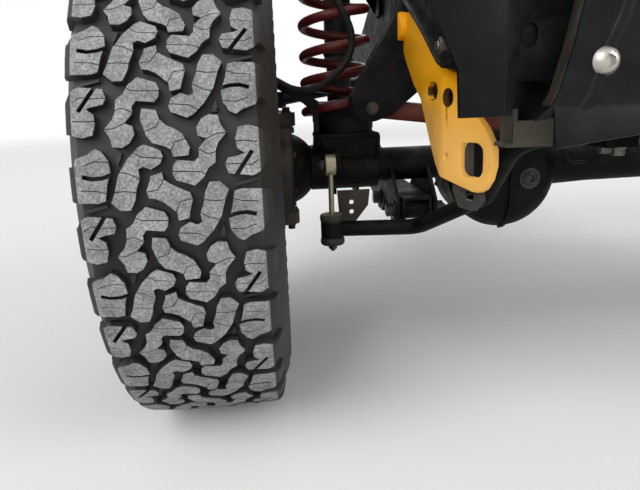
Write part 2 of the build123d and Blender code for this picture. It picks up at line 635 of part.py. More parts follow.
def all_nodes():
    nodes = {}
    nodes.update(both_sides("frame_rail", rail()))
    nodes["front_crossmember"] = front_crossmember()
    nodes["rear_crossmember"] = rear_crossmember()
    nodes.update(both_sides("spring_tower", spring_tower()))
    nodes["bump_stops"] = pair(bump_stop())
    nodes["frame_brackets"] = pair(shock_bracket() + arm_bracket())
    nodes["lateral_rod_bracket"] = lateral_rod_bracket()
    nodes.update(both_sides("tow_hook", tow_hook()))
    nodes["tie_down_eyes"] = pair(tie_down_eye())
    nodes["bumper_centre"] = bumper()
    nodes.update(both_sides("bumper_end", bumper_end()))
    nodes["axle_housing"] = axle_housing()
    nodes["axle_brackets"] = axle_brackets()
    nodes["differential_carrier"] = differential_carrier()
    nodes["pinion_housing"] = pinion_housing()
    nodes.update(both_sides("spring_seat", spring_seat()))
    nodes.update(both_sides("coil_spring", coil_spring()))
    nodes.update(both_sides("shock_absorber", shock_absorber()))
    nodes.update(both_sides("radius_arm", radius_arm()))
    nodes["lateral_rod"] = lateral_rod()
    nodes["stabiliser_bar"] = stabiliser_bar()
    nodes.update(both_sides("stabiliser_link", stabiliser_link()))
    nodes["stabiliser_mounts"] = pair(stabiliser_mount())
    nodes["brake_hoses"] = pair([brake_hose()]) + [axle_pipe()]
    nodes["steering_box"] = steering_box()
    nodes["pitman_arm"] = pitman_arm()
    nodes["drag_link"] = drag_link()
    nodes["tie_rod"] = tie_rod()
    nodes["knuckle_right"] = knuckle(True)
    nodes["knuckle_left"] = [to_left(solid) for solid in knuckle(False)]
    nodes.update(both_sides("hub", [wheel_place(s) for s in hub()]))
    nodes.update(both_sides("rim", [wheel_place(rim())]))
    nodes.update(both_sides("tyre", [wheel_place(tyre())]))
    return nodes


os.makedirs("parts", exist_ok=True)
for name, solids in all_nodes().items():
    whole = Compound(children=[Part() + solid for solid in solids])
    export_step(Pos(0, -AXLE_AHEAD, -AXLE_BELOW) * whole, f"parts/{name}.step")
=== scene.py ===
"""Looks of the front end of a lifted off-road 4x4, built around its fixed frame.

Every piece is in metres, in the frame's own axes: X across with minus X on the vehicle's right, Y to the
rear, Z up. The sizes that a user would change stand in the property groups, and the rest is worked out from
them and from the boxes of the frame's nodes.
"""
import json
import math

import bpy
from mathutils import Matrix, Vector


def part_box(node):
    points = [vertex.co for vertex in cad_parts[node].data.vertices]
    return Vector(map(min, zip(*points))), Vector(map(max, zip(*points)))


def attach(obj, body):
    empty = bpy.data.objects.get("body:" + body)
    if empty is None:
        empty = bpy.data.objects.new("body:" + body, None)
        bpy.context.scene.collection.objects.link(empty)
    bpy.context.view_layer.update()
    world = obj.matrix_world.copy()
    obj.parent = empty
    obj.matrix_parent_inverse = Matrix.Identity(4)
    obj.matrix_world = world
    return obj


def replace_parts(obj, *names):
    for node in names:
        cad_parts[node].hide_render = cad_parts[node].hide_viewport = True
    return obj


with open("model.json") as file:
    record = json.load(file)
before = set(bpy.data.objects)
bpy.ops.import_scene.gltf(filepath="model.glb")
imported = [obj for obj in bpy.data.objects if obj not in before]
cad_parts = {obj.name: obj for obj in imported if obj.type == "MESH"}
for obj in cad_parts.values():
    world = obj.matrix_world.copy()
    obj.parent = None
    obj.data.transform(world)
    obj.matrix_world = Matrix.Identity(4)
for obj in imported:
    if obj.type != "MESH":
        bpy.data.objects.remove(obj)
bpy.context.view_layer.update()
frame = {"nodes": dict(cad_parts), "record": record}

bl_info = {
    "name": "Off-road front end",
    "version": (1, 0, 0),
    "blender": (4, 5, 0),
    "location": "3D View > Sidebar > Front end",
    "description": "Tyres, fasteners, hoses and finishes for the front end of a lifted 4x4",
    "category": "Object",
}

MM = 0.001
POINT_GAP = 0.01 * MM

# Places read from the frame
TYRE_LOW, TYRE_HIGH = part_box("tyre_right")
WHEEL = (TYRE_LOW + TYRE_HIGH) / 2
TYRE_R = (TYRE_HIGH.z - TYRE_LOW.z) / 2
HALF_TRACK = -WHEEL.x
GROUND = TYRE_LOW.z
SIDES = {"right": -1, "left": 1}

WHEEL_X = HALF_TRACK / MM
AXLE = Vector((0, WHEEL.y, WHEEL.z))

# Places of the linkage, in mm about the middle of the axle
KINGPIN_X = 587.5
NUT_SEAT_X = WHEEL_X + 9
HUB_FACE_X = WHEEL_X + 68
NUT_CIRCLE = 69.85
LATERAL_ENDS = [(-460.5, 90), (330, -14)]
DIFF_X, DIFF_Z = -245, -18.5
ROD_Y = -95
BRACKET_FACES = [(-117, -111), (-79, -73)]
COIL_X = 497.5
COIL_R = 47
COIL_WIRE_R = 7
SHOCK_X, SHOCK_Y = 482.5, 84
LINK_X, LINK_Y = 516.5, -75
STEERING_BOX_X = 232

# Sheet metal at the front: the faces of its plates, in mm
SHEET = 3.5
BUMPER_FACE = -440
BUMPER_INSIDE = BUMPER_FACE + SHEET
RAIL_END = -404.4
STAY_IN, STAY_OUT, STAY_FLANGE = 411.6, 417.6, 426
HOOK_IN, HOOK_OUT = 411.3, 417.8

# Outlines of plates on the right side, in mm: (y, z) along the vehicle for the hook and the stay, (x, z) for
# the others. The slots are (y, z, width, height), and the coil's heights go with its turns.
HOOK_FOLD_Y = -297
HOOK_BEND = 6
HOOK_TURN = math.radians(20)
HOOK_SLOTS = [(-261, 109.5, 36, 17.3), (-306.5, 102.5, 15.5, 17.2)]
HOOK_RIM = [(-350, 84), (-361, 74), (-368.5, 63), (-372.5, 53), (-373, 38), (-369, 24.5), (-361.5, 14),
            (-354, 10), (-345, 10), (-291, 20), (-275, 30.5), (-249, 55), (-221, 86), (-207, 101),
            (-172, 119), (-128, 150), (-99, 178), (-97, 203), (-118, 210), (-171, 202), (-283, 138),
            (-319, 126)]
STAY_EDGE = [(-108, 240), (-148, 220.6), (-238, 175.8), (-283, 150), (-304, 138.5), (-323, 133),
             (-345, 132)]
WING = [(-444.5, 87.5), (-446, 123.7), (-451.5, 137), (-457.8, 149.6), (-470, 177.6), (-486, 262),
        (-408, 262), (-408, 87.5)]
BUMPER_EDGE = [(-327.8, 262), (-345.3, 174.4), (-352.4, 138.9), (-361.6, 105.2), (-367.6, 94.3),
               (-382, 82.1)]
BUMPER_LIP = [(-366, 60), (-353, 61.8), (-327.8, 65.2), (-294, 69), (-240, 72)]
BRACKET_EDGE = [(-487.5, 106), (-453.5, 165), (-420, 219), (-411.6, 233)]
COIL_HEIGHTS = [(-0.5, 84), (0, 85), (1, 128), (2, 166), (3, 210), (4, 254), (5, 298), (5.5, 314),
                (6, 322.5)]

# Bolts and nuts of the left side: (across the flats, height, washer, thread), place in mm, way they look
AXLE_BOLTS = [
    ((19, 10, 30), (419, -52, -64), (1, 0, 0)), ((19, 12, 30, 4), (357, -52, -64), (-1, 0, 0)),
    ((19, 10, 30), (419, 62, -64), (1, 0, 0)), ((19, 12, 30, 4), (357, 62, -64), (-1, 0, 0)),
    ((17, 9, 26), (503.5, 84, -28), (1, 0, 0)), ((17, 11, 26, 4), (461.5, 84, -28), (-1, 0, 0)),
    ((12, 6, 20, 3), (523.5, LINK_Y, 12), (1, 0, 0)), ((12, 6, 20, 3), (LINK_X, LINK_Y, -106), (0, 0, -1)),
    ((14, 8, 34, 6), (SHOCK_X, SHOCK_Y, 314), (0, 0, 1)),
    ((19, 7, 32), (421, 560, 34), (1, 0, 0)), ((19, 7, 32), (355, 560, 34), (-1, 0, 0)),
]
FRAME_BOLTS = [
    ((16, 8, 21, 3), (STAY_OUT, -317, 152.5), (1, 0, 0)),
    ((12, 7, 16), (227.5, -311, 44), (0, 0, -1)), ((12, 7, 16), (227.5, -285, 44), (0, 0, -1)),
    ((17, 8, 28), (STAY_OUT, -330, 240), (1, 0, 0)), ((17, 8, 28), (STAY_OUT, -230, 240), (1, 0, 0)),
]

# One repeat of the tread in mm: (across from the middle, along from the repeat's start). The other half of
# the tread is the same, turned by half a turn about this point along the middle line.
TREAD_TURN = 22
TREAD_BLOCKS = {
    "hooked": [(-21, 72), (-6, 66), (-4, 60), (-7, 53), (-16, 48), (-23, 51), (-28, 49), (-27, 40),
               (-31, 30), (-33, 20), (-38, 10), (-48, 10), (-56, 18), (-52, 27), (-47, 44), (-38, 58),
               (-27, 69)],
    "notched": [(-24, 13), (-7, 7), (-4, 1), (-5, -7), (-9, -12), (-26, -10), (-30, -15), (-30, -22),
                (-38, -31), (-30, -34), (-29, -42), (-34, -50), (-41, -54), (-50, -53), (-52, -44),
                (-57, -36), (-49, -27), (-46, -20), (-45, -8), (-38, -3), (-33, 6)],
    "shoulder_cut": [(68, 85), (78, 87), (92, 83), (119, 78), (119, 56), (93, 49), (88, 42), (80, 38),
                     (57, 41), (54, 50), (57, 56), (68, 58), (73, 60), (66, 65), (65, 74)],
    "shoulder_wide": [(61, 24), (68, 26), (90, 25), (112, 21), (112, -11), (91, -9), (86, -17),
                      (74, -21), (67, -26), (61, -23), (55, -14), (54, -3), (58, 8)],
}
CENTRE_BLOCKS = {
    "waisted": [(-21, 106), (-8, 104), (-5, 95), (1, 89), (8, 86), (16, 80), (22, 67), (20, 60),
                (6, 59), (4, 66), (-1, 69), (-13, 73), (-18, 80), (-23, 96)],
    "stepped": [(-17, 42), (-6, 45), (-5, 38), (1, 34), (12, 28), (19, 25), (21, 18), (18, 8), (16, 0),
                (6, -2), (5, 6), (-6, 16), (-14, 20), (-20, 21), (-22, 28), (-18, 37)],
}
TREAD_SLOTS = [[(80.5, 62), (59, 32)], [(52, -1), (62, 2), (72, 2.5), (81, 0)]]
TREAD_SIPES = [
    [(-32, 65), (-24, 60), (-2, 58)], [(-46, 47), (-37, 45), (-25, 38)],
    [(-54, 28), (-42, 28.5), (-31, 27)], [(-40, 6), (-30, 0), (-2, -1.5)],
    [(-49, -19), (-39, -16.5), (-28, -22)], [(-59, -36), (-48, -35.5), (-36, -30)],
    [(63, 71.5), (74, 72), (86, 70.5)], [(52, 50), (68, 50), (78, 48), (86, 53)],
    [(58, 17.5), (68, 14), (83, 13)], [(53, -12.5), (68, -14), (80, -10)],
]
CENTRE_SIPES = [[(-20, 84), (-8, 88), (-4, 98)], [(4, 64), (8, 73), (18, 75.5)],
                [(-23, 27), (-11, 28.5), (-4, 39)], [(4, 6), (9, 16.5), (22, 19)]]
STONE_GUARDS = [[(43, 102), (47, 110), (49, 102)], [(44, -18), (48, -9), (50, -18)],
                [(61, 31), (82, 36), (92, 35), (62, 28)]]


def colour(name, description, default):
    """Property for a colour of paint, rubber or dirt."""
    return bpy.props.FloatVectorProperty(name=name, description=description, size=3, default=default,
                                         subtype="COLOR", min=0, max=1)


class TyreSettings(bpy.types.PropertyGroup):
    """Sizes of the tread and colours of the rubber."""
    repeats: bpy.props.IntProperty(name="Repeats", description="Tread repeats round the tyre", default=18)
    groove: bpy.props.FloatProperty(name="Groove depth", description="Depth of the tread grooves",
                                    default=10.5 * MM, unit="LENGTH")
    sipe: bpy.props.FloatProperty(name="Sipe width", description="Width of the thin cuts in the blocks",
                                  default=0.9 * MM, unit="LENGTH")
    rubber: colour("Rubber", "Colour of clean rubber", (0.012, 0.012, 0.012))
    dust: colour("Road dust", "Colour of the dust on the blocks", (0.5, 0.515, 0.505))


class PaintSettings(bpy.types.PropertyGroup):
    """Colours of the painted and bare metal pieces."""
    hook: colour("Hook", "Paint of the tow hooks", (0.96, 0.41, 0.002))
    spring: colour("Spring", "Paint of the coil springs", (0.11, 0.006, 0.006))
    # The default black is darker than the paint itself: painted shade of the body above, which is not
    # modelled.
    black: colour("Black", "Paint of the frame and bumper", (0.004, 0.0045, 0.0058))
    steering: colour("Steering", "Paint of the steering rods", (0.006, 0.01, 0.03))
    dirt: colour("Dirt", "Dry dust that lies on the pieces", (0.26, 0.225, 0.18))


class StageSettings(bpy.types.PropertyGroup):
    """Camera and floor."""
    lens: bpy.props.FloatProperty(name="Lens", description="Focal length on a 36 mm sensor", default=32.26,
                                  min=1)
    camera: bpy.props.FloatVectorProperty(name="Camera place", description="Where the camera stands",
                                          size=3, default=(-0.5956, -1.5455, -0.0545),
                                          subtype="TRANSLATION", unit="LENGTH")
    heading: bpy.props.FloatProperty(name="Heading", description="Turn of the camera to its left",
                                     default=math.radians(-4.11), subtype="ANGLE")
    tilt: bpy.props.FloatProperty(name="Tilt", description="How far the camera looks down",
                                  default=math.radians(14.68), subtype="ANGLE")
    roll: bpy.props.FloatProperty(name="Roll", description="Turn of the camera about its own line of sight",
                                  default=math.radians(-2.25), subtype="ANGLE")
    floor: colour("Floor", "Colour of the floor", (0.82, 0.82, 0.81))


def nothing_selected():
    """Deselects every object."""
    for item in bpy.context.selected_objects:
        item.select_set(False)


def use(item):
    """Makes an object the only selected and active one."""
    nothing_selected()
    item.select_set(True)
    bpy.context.view_layer.objects.active = item
    return item


def apply_place(item):
    """Puts the object's place into its mesh."""
    use(item)
    bpy.ops.object.transform_apply(location=True, rotation=True, scale=True)
    return item


def block(middle, size):
    """Box about a place, in metres."""
    bpy.ops.mesh.primitive_cube_add(size=1, location=middle, scale=size)
    return apply_place(bpy.context.view_layer.objects.active)


def coated(item, material):
    """Gives the object one finish in place of those it has."""
    item.data.materials.clear()
    item.data.materials.append(material)
    return item


def apply_modifier(item, kind, **settings):
    """Adds a modifier and applies it."""
    use(item)
    modifier = item.modifiers.new(kind.title(), kind)
    for key, value in settings.items():
        setattr(modifier, key, value)
    bpy.ops.object.modifier_apply(modifier=modifier.name)
    return item


def joined(items, name):
    """One object from several."""
    nothing_selected()
    for item in items:
        item.select_set(True)
    bpy.context.view_layer.objects.active = items[0]
    bpy.ops.object.join()
    whole = bpy.context.view_layer.objects.active
    whole.name = name
    return whole


def copy_of(item):
    """A copy with a mesh of its own."""
    twin = item.copy()
    twin.data = item.data.copy()
    bpy.context.collection.objects.link(twin)
    return twin


def smoothed(item, degrees=35):
    """Shades faces smoothly across edges that turn by less than that."""
    use(item)
    bpy.ops.object.shade_smooth_by_angle(angle=math.radians(degrees))
    return item


def outward(item, merged=0.0):
    """Merges points that are no further apart than that, and turns the faces outwards."""
    use(item)
    bpy.ops.object.mode_set(mode="EDIT")
    bpy.ops.mesh.select_all(action="SELECT")
    if merged:
        bpy.ops.mesh.remove_doubles(threshold=merged)
    bpy.ops.mesh.normals_make_consistent(inside=False)
    bpy.ops.object.mode_set(mode="OBJECT")
    return item


def meshed(name, points, edges, faces):
    """New object from points in metres."""
    mesh = bpy.data.meshes.new(name)
    mesh.from_pydata(points, edges, faces)
    item = bpy.data.objects.new(name, mesh)
    bpy.context.collection.objects.link(item)
    return use(item)


def spun(name, points, axis, steps, ring=True):
    """Closed solid from a section, a ring or a line from axis to axis, turned once about an axis."""
    count = len(points)
    item = meshed(name, points, [(k, (k + 1) % count) for k in range(count if ring else count - 1)], [])
    bpy.ops.object.mode_set(mode="EDIT")
    bpy.ops.mesh.select_all(action="SELECT")
    bpy.ops.mesh.spin(steps=steps, angle=2 * math.pi, center=(0, 0, 0), axis=axis)
    bpy.ops.object.mode_set(mode="OBJECT")
    return smoothed(outward(item, POINT_GAP))


def flat_solid(outlines, low, high):
    """Closed solid with flat outlines of (x, y) points, from one height to another, all in mm."""
    curve = bpy.data.curves.new("outline", "CURVE")
    curve.dimensions = "2D"
    curve.fill_mode = "BOTH"
    curve.extrude = (high - low) / 2 * MM
    for outline in outlines:
        spline = curve.splines.new("POLY")
        spline.points.add(len(outline) - 1)
        for point, (x, y) in zip(spline.points, outline):
            point.co = (x * MM, y * MM, 0, 1)
        spline.use_cyclic_u = True
    item = bpy.data.objects.new("outline", curve)
    bpy.context.collection.objects.link(item)
    use(item)
    bpy.ops.object.convert(target="MESH")
    item = bpy.context.view_layer.objects.active
    item.location.z = (low + high) / 2 * MM
    return outward(apply_place(item), POINT_GAP / 10)


def band(line, width):
    """Outline of a strip of even width that follows a bent line."""
    points = [Vector(point) for point in line]
    left = []
    right = []
    for k, point in enumerate(points):
        before = points[max(k - 1, 0)]
        after = points[min(k + 1, len(points) - 1)]
        across = (after - before).normalized().orthogonal() * width / 2
        left.append(tuple(point + across))
        right.append(tuple(point - across))
    return left + right[::-1]


def cut(item, cutter):
    """Takes the cutter out of the item and removes the cutter."""
    apply_modifier(item, "BOOLEAN", operation="DIFFERENCE", solver="EXACT", object=cutter)
    bpy.data.objects.remove(cutter)
    return item


def sliced(item, normal, places):
    """Cuts faces along planes across one direction, so that they can bend there."""
    use(item)
    bpy.ops.object.mode_set(mode="EDIT")
    for place in places:
        bpy.ops.mesh.select_all(action="SELECT")
        bpy.ops.mesh.bisect(plane_co=[place * value for value in normal], plane_no=normal)
    bpy.ops.object.mode_set(mode="OBJECT")
    return item


def turned(line):
    """The same line in the other half of the tread."""
    return [(-x, 2 * TREAD_TURN - y) for x, y in line]


def spot(x, y, z):
    """Place given in mm about the middle of the axle."""
    return AXLE + Vector((x, y, z)) * MM


def lathe(profile, steps=32, ring=False):
    """Closed solid turned about Z, from a ring or an open line of (radius, height) points in mm."""
    return spun("lathe", [(radius * MM, 0, high * MM) for radius, high in profile], (0, 0, 1), steps, ring)


def prism(sides, across, low, high):
    """Upright bar with flat sides, that wide across the flats, in mm."""
    radius = across / 2 / math.cos(math.pi / sides)
    bpy.ops.mesh.primitive_cylinder_add(vertices=sides, radius=radius * MM, depth=(high - low) * MM,
                                        location=(0, 0, (low + high) / 2 * MM))
    return apply_place(bpy.context.view_layer.objects.active)


def plate_box(xs, ys, zs, edge=1.2):
    """Box between two corners in mm about the middle of the axle, with rounded edges."""
    low, high = spot(min(xs), min(ys), min(zs)), spot(max(xs), max(ys), max(zs))
    return apply_modifier(block((low + high) / 2, high - low), "BEVEL", width=edge * MM, segments=2)


def edged(item, width):
    """Rounds the sharp edges by that many mm."""
    return smoothed(apply_modifier(item, "BEVEL", width=width * MM, segments=2, limit_method="ANGLE",
                                   angle_limit=math.radians(40)))


def upright(outline, y0, y1, holes=(), edge=0.6):
    """Plate across the vehicle, with an outline of (x, z) points in mm about the middle of the axle."""
    item = flat_solid((outline, *holes), -max(y0, y1), -min(y0, y1))
    item.matrix_world = Matrix.Translation(AXLE) @ Matrix.Rotation(math.pi / 2, 4, "X")
    return edged(apply_place(item), edge)


def sideways(outline, x0, x1, holes=(), edge=0.6):
    """Plate along the vehicle, with an outline of (y, z) points in mm about the middle of the axle."""
    item = flat_solid((outline, *holes), min(x0, x1), max(x0, x1))
    turn = Matrix(((0, 0, 1, 0), (1, 0, 0, 0), (0, 1, 0, 0), (0, 0, 0, 1)))
    item.matrix_world = Matrix.Translation(AXLE) @ turn
    return edged(apply_place(item), edge)


def rounded(middle, wide, tall, corner):
    """Outline of a rectangle with round corners."""
    steps = 5
    points = []
    for k, (right, up) in enumerate(((1, 1), (-1, 1), (-1, -1), (1, -1))):
        for step in range(steps + 1):
            turn = math.pi / 2 * (k + step / steps)
            points.append((middle[0] + right * (wide / 2 - corner) + corner * math.cos(turn),
                           middle[1] + up * (tall / 2 - corner) + corner * math.sin(turn)))
    return points


def flipped(line, sign):
    """The right side's (x, z) line on either side of the vehicle."""
    return [(-sign * x, z) for x, z in line]


def facing(sign, outline, y0, y1, holes=(), edge=0.6):
    """Upright plate drawn for the right side, on either side."""
    return upright(flipped(outline, sign), y0, y1, [flipped(hole, sign) for hole in holes], edge)


def circle(count, radius, start=0.0):
    """Points round a circle, the first at that many degrees."""
    turns = [math.radians(360 / count * k + start) for k in range(count)]
    return [(radius * math.cos(turn), radius * math.sin(turn)) for turn in turns]


def between(table, value):
    """Value read off a table of pairs, in straight lines between its rows."""
    for (a, low), (b, high) in zip(table, table[1:]):
        if value <= b:
            return low + (high - low) * (value - a) / (b - a)
    return table[-1][1]


def loft(levels):
    """Closed solid through rings of places, all with the same number of points."""
    count = len(levels[0])
    faces = [tuple(range(count))[::-1], tuple(range(count * (len(levels) - 1), count * len(levels)))]
    for k in range(len(levels) - 1):
        for j in range(count):
            after = (j + 1) % count
            faces.append((k * count + j, k * count + after, (k + 1) * count + after, (k + 1) * count + j))
    return outward(meshed("loft", [place for level in levels for place in level], [], faces))


def face_ridge(line, width, height, y):
    """Low rounded ridge along a line of (x, z) points in mm on a face that looks forward."""
    points = [Vector(point) for point in line]
    levels = []
    for k, point in enumerate(points):
        run = points[min(k + 1, len(points) - 1)] - points[max(k - 1, 0)]
        across = run.normalized().orthogonal()
        section = [(-0.5, -0.3), (-0.26, 0.75), (0, 1), (0.26, 0.75), (0.5, -0.3)]
        levels.append([spot(point.x + across.x * along * width, y - out * height,
                            point.y + across.y * along * width) for along, out in section])
    return smoothed(loft(levels), 50)


def stood(item, place, out):
    """Moves a piece drawn at the origin so that its Z looks out along a direction."""
    item.matrix_world = Matrix.Translation(place) @ Vector(out).to_track_quat("Z", "Y").to_matrix().to_4x4()
    return apply_place(item)


def copies(item, places, out):
    """A piece drawn at the origin and copies of it, stood at places in mm about the middle of the axle."""
    twins = [item] + [copy_of(item) for _ in places[1:]]
    return [stood(twin, spot(*place), out) for twin, place in zip(twins, places)]


# Thickness of the washers and how far fasteners sink into what they sit on, in mm
WASHER = 2.0
SUNK = 0.4


def hex_head(across, height, washer=0.0, thread=0.0):
    """Hexagonal head or nut on an optional washer, with an optional threaded end that stands out of it."""
    low = WASHER if washer else -SUNK
    head = prism(6, across, low - 0.6, low + height)
    dome = lathe([(0, low - 5), (across * 0.56, low - 5), (across * 0.56, low + height - across * 0.06),
                  (across * 0.47, low + height), (0, low + height)], 36)
    apply_modifier(head, "BOOLEAN", operation="INTERSECT", solver="EXACT", object=dome)
    bpy.data.objects.remove(dome)
    pieces = [head]
    if washer:
        rim = washer / 2
        outline = [(0, -SUNK), (rim, -SUNK), (rim, WASHER - 0.5), (rim - 0.5, WASHER), (0, WASHER)]
        pieces.append(lathe(outline))
    if thread:
        ridges = [(across * (0.27 if k % 2 else 0.3), low + height - 1 + k) for k in range(int(thread) + 2)]
        pieces.append(lathe([(0, low + height - 1), *ridges, (0, low + height + int(thread))], 20))
    return joined(pieces, "hex_head")


def button_head(across, height, socket):
    """Low domed head with a hexagonal socket, and a rim where it meets the sheet."""
    radius = across / 2
    head = lathe([(0, -0.5), (radius, -0.5), (radius, 0.6), (radius * 0.95, 1.4),
                  (radius * 0.8, height * 0.62), (radius * 0.6, height * 0.88), (radius * 0.4, height),
                  (0, height)], 48)
    return smoothed(cut(head, prism(6, socket, height * 0.35, height + 2)))


def bolt(head, x, y, z, out):
    """Hexagonal head or nut of the sizes in head, at a place in mm about the middle of the axle."""
    return stood(hex_head(*head), spot(x, y, z), out)


def bolts(rows, sign):
    """Bolts from a table of the left side, on either side."""
    return [bolt(head, sign * x, y, z, (sign * out[0], *out[1:])) for head, (x, y, z), out in rows]


def placed(pieces, name, body, material):
    """Joins pieces into one object of a body and its finish."""
    whole = coated(joined(pieces, name), material)
    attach(whole, body)
    return whole


def instead(pieces, name, node, material):
    """Joins pieces into one object of the fixed body, which stands for a node of the frame."""
    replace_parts(placed(pieces, name, "root", material), node)


# Cross section of the tread's surface: nearly flat, then round the shoulder and down the side
CROWN_HALF = 82 * MM
CROWN_DROP = 2.6 * MM
SHOULDER_R = 14 * MM
SHOULDER_TURN = math.radians(78)
SHOULDER_CUTS = [50, 83, 87, 91, 95, 101, 110]
TREAD_HALF = 118 * MM

# In mm from the groove floor: how far the blocks reach below it, and how high above it the slots and the thin
# cuts end. The slots' width is in mm too, and the stone guards' height is a share of the groove's depth.
BLOCK_FOOT = 2
SLOT_FLOOR = 2
SIPE_FLOOR = 5.5
SLOT_WIDTH = 4.2
GUARD_SHARE = 0.42

# Distances from the middle of the tread: where the grooves start to run out, over what width, and how much of
# their depth goes; and where the road's dust ends, over what width
FADE_START, FADE_RUN, FADE_SHARE = 90 * MM, 28 * MM, 0.62
DUST_END, DUST_RUN = 96 * MM, 9 * MM


def crown(across):
    """Place (x, radius) and outward direction on the tread's surface, that far across from the middle."""
    side = math.copysign(1, across)
    reach = abs(across)
    if reach <= CROWN_HALF:
        return Vector((across, TYRE_R - CROWN_DROP * (reach / CROWN_HALF) ** 2)), Vector((0, 1))
    turn = min((reach - CROWN_HALF) / SHOULDER_R, SHOULDER_TURN)
    past = reach - CROWN_HALF - SHOULDER_R * SHOULDER_TURN
    x = CROWN_HALF + SHOULDER_R * math.sin(turn)
    radius = TYRE_R - CROWN_DROP - SHOULDER_R * (1 - math.cos(turn))
    if past > 0:
        x += past * math.cos(turn)
        radius -= past * math.sin(turn)
    return Vector((side * x, radius)), Vector((side * math.sin(turn), math.cos(turn)))


def groove_depth(across, full):
    """Depth of the grooves, which run out down the side."""
    fade = min(max((abs(across) - FADE_START) / FADE_RUN, 0), 1)
    return full * (1 - FADE_SHARE * fade)


def tread_repeat(settings):
    """One repeat of the tread, laid out flat, with height above the groove floor along Z."""
    halves = list(TREAD_BLOCKS.values())
    outlines = halves + [turned(line) for line in halves] + list(CENTRE_BLOCKS.values())
    groove = settings.groove / MM
    repeat = flat_solid(outlines, -BLOCK_FOOT, groove)
    apply_modifier(repeat, "BEVEL", width=0.8 * MM, segments=1, limit_method="ANGLE",
                   angle_limit=math.radians(50))
    slots = TREAD_SLOTS + [turned(line) for line in TREAD_SLOTS]
    sipes = TREAD_SIPES + [turned(line) for line in TREAD_SIPES] + CENTRE_SIPES
    cut(repeat, flat_solid([band(line, SLOT_WIDTH) for line in slots], SLOT_FLOOR, groove + 1))
    cut(repeat, flat_solid([band(line, settings.sipe / MM) for line in sipes], SIPE_FLOOR, groove + 1))
    guards = STONE_GUARDS + [turned(line) for line in STONE_GUARDS]
    low = flat_solid(guards, -BLOCK_FOOT, GUARD_SHARE * groove)
    repeat = joined([repeat, low], "tread_repeat")
    pitch = 2 * math.pi * TYRE_R / settings.repeats
    sliced(repeat, (0, 1, 0), [pitch / 12 * step for step in range(-7, 12)])
    sliced(repeat, (1, 0, 0), [sign * place * MM for sign in (-1, 1) for place in SHOULDER_CUTS])
    return repeat


def tyre_tread(settings):
    """All blocks of a tyre's tread, wrapped round it, about the wheel's middle."""
    repeat = tread_repeat(settings)
    pitch = 2 * math.pi * TYRE_R / settings.repeats
    rows = [repeat]
    for k in range(1, settings.repeats):
        twin = copy_of(repeat)
        twin.location.y = pitch * k
        rows.append(apply_place(twin))
    tread = joined(rows, "tread")
    height = tread.data.attributes.new("block_height", "FLOAT", "POINT")
    for vertex in tread.data.vertices:
        across, along, up = vertex.co
        place, out = crown(across)
        share = up / settings.groove
        place = place - out * (1 - share) * groove_depth(across, settings.groove)
        angle = along / TYRE_R
        vertex.co = (place.x, -place.y * math.cos(angle), place.y * math.sin(angle))
        height.data[vertex.index].value = share * min(max((DUST_END - abs(across)) / DUST_RUN, 0), 1)
    return smoothed(outward(tread), 28)


# Ribs on each side of a tyre, and half of its carcass below the tread as (across, radius) in mm, from the
# shoulder to the bead and back inside
RIBS = 90
SIDEWALL = [(101.5, 313), (104.5, 306), (106.5, 300), (106.6, 299), (105.9, 298.2), (108.2, 290),
            (108.6, 283), (108.2, 275), (107.6, 273.5), (108.3, 272.5), (106.8, 262), (104.6, 252),
            (102.2, 245), (103.4, 243.5), (103.2, 240), (100.6, 236), (97.6, 229), (94.8, 223.4),
            (92, 220.6), (84.2, 219.4), (83, 213), (80, 206), (79, 203.6), (64, 203.6), (68, 223),
            (96, 262), (99, 285), (94, 308), (84, 328)]


def tyre_carcass(settings):
    """Rubber under the blocks, with ribbed sides, spun from its cross section."""
    section = []
    for step in range(13):
        across = step / 12 * TREAD_HALF
        place, out = crown(across)
        section.append(place - out * groove_depth(across, settings.groove))
    section = section + [Vector(point) * MM for point in SIDEWALL]
    mirrored = [Vector((-point.x, point.y)) for point in section if point.x > 0]
    outline = section + mirrored[::-1]
    carcass = spun("carcass", [(point.x, 0, point.y) for point in outline], (1, 0, 0), 120)
    carcass.data.attributes.new("block_height", "FLOAT", "POINT")
    return carcass


def side_ribs():
    """Short ribs that stand round both sidewalls, about the wheel's middle."""
    first = [block((side * 108.3 * MM, 0, 283 * MM), (1.6 * MM, 1.5 * MM, 11 * MM)) for side in (-1, 1)]
    ribs = list(first)
    for rib in first:
        for k in range(1, RIBS):
            twin = copy_of(rib)
            twin.rotation_euler.x = math.radians(360 / RIBS * k)
            ribs.append(apply_place(twin))
    whole = joined(ribs, "side_ribs")
    whole.data.attributes.new("block_height", "FLOAT", "POINT")
    return whole


class FRONTEND_OT_tyres(bpy.types.Operator):
    """Makes both tyres with their blocks, sipes and ribbed sides"""
    bl_idname = "frontend.tyres"
    bl_label = "Tyres"

    def execute(self, context):
        settings = context.scene.frontend_tyre
        rubber = tyre_rubber(settings)
        tread = tyre_tread(settings)
        carcass = joined([tyre_carcass(settings), side_ribs()], "carcass")
        for piece, label in ((tread, "tread"), (carcass, "carcass")):
            coated(piece, rubber)
            for side, sign in SIDES.items():
                made = copy_of(piece)
                made.name = f"tyre_{label}_{side}"
                made.location = (sign * HALF_TRACK, WHEEL.y, WHEEL.z)
                if side == "left":
                    made.rotation_euler.z = math.pi
                apply_place(made)
                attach(made, f"wheel_{side}")
                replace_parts(made, f"tyre_{side}")
            bpy.data.objects.remove(piece)
        return {"FINISHED"}


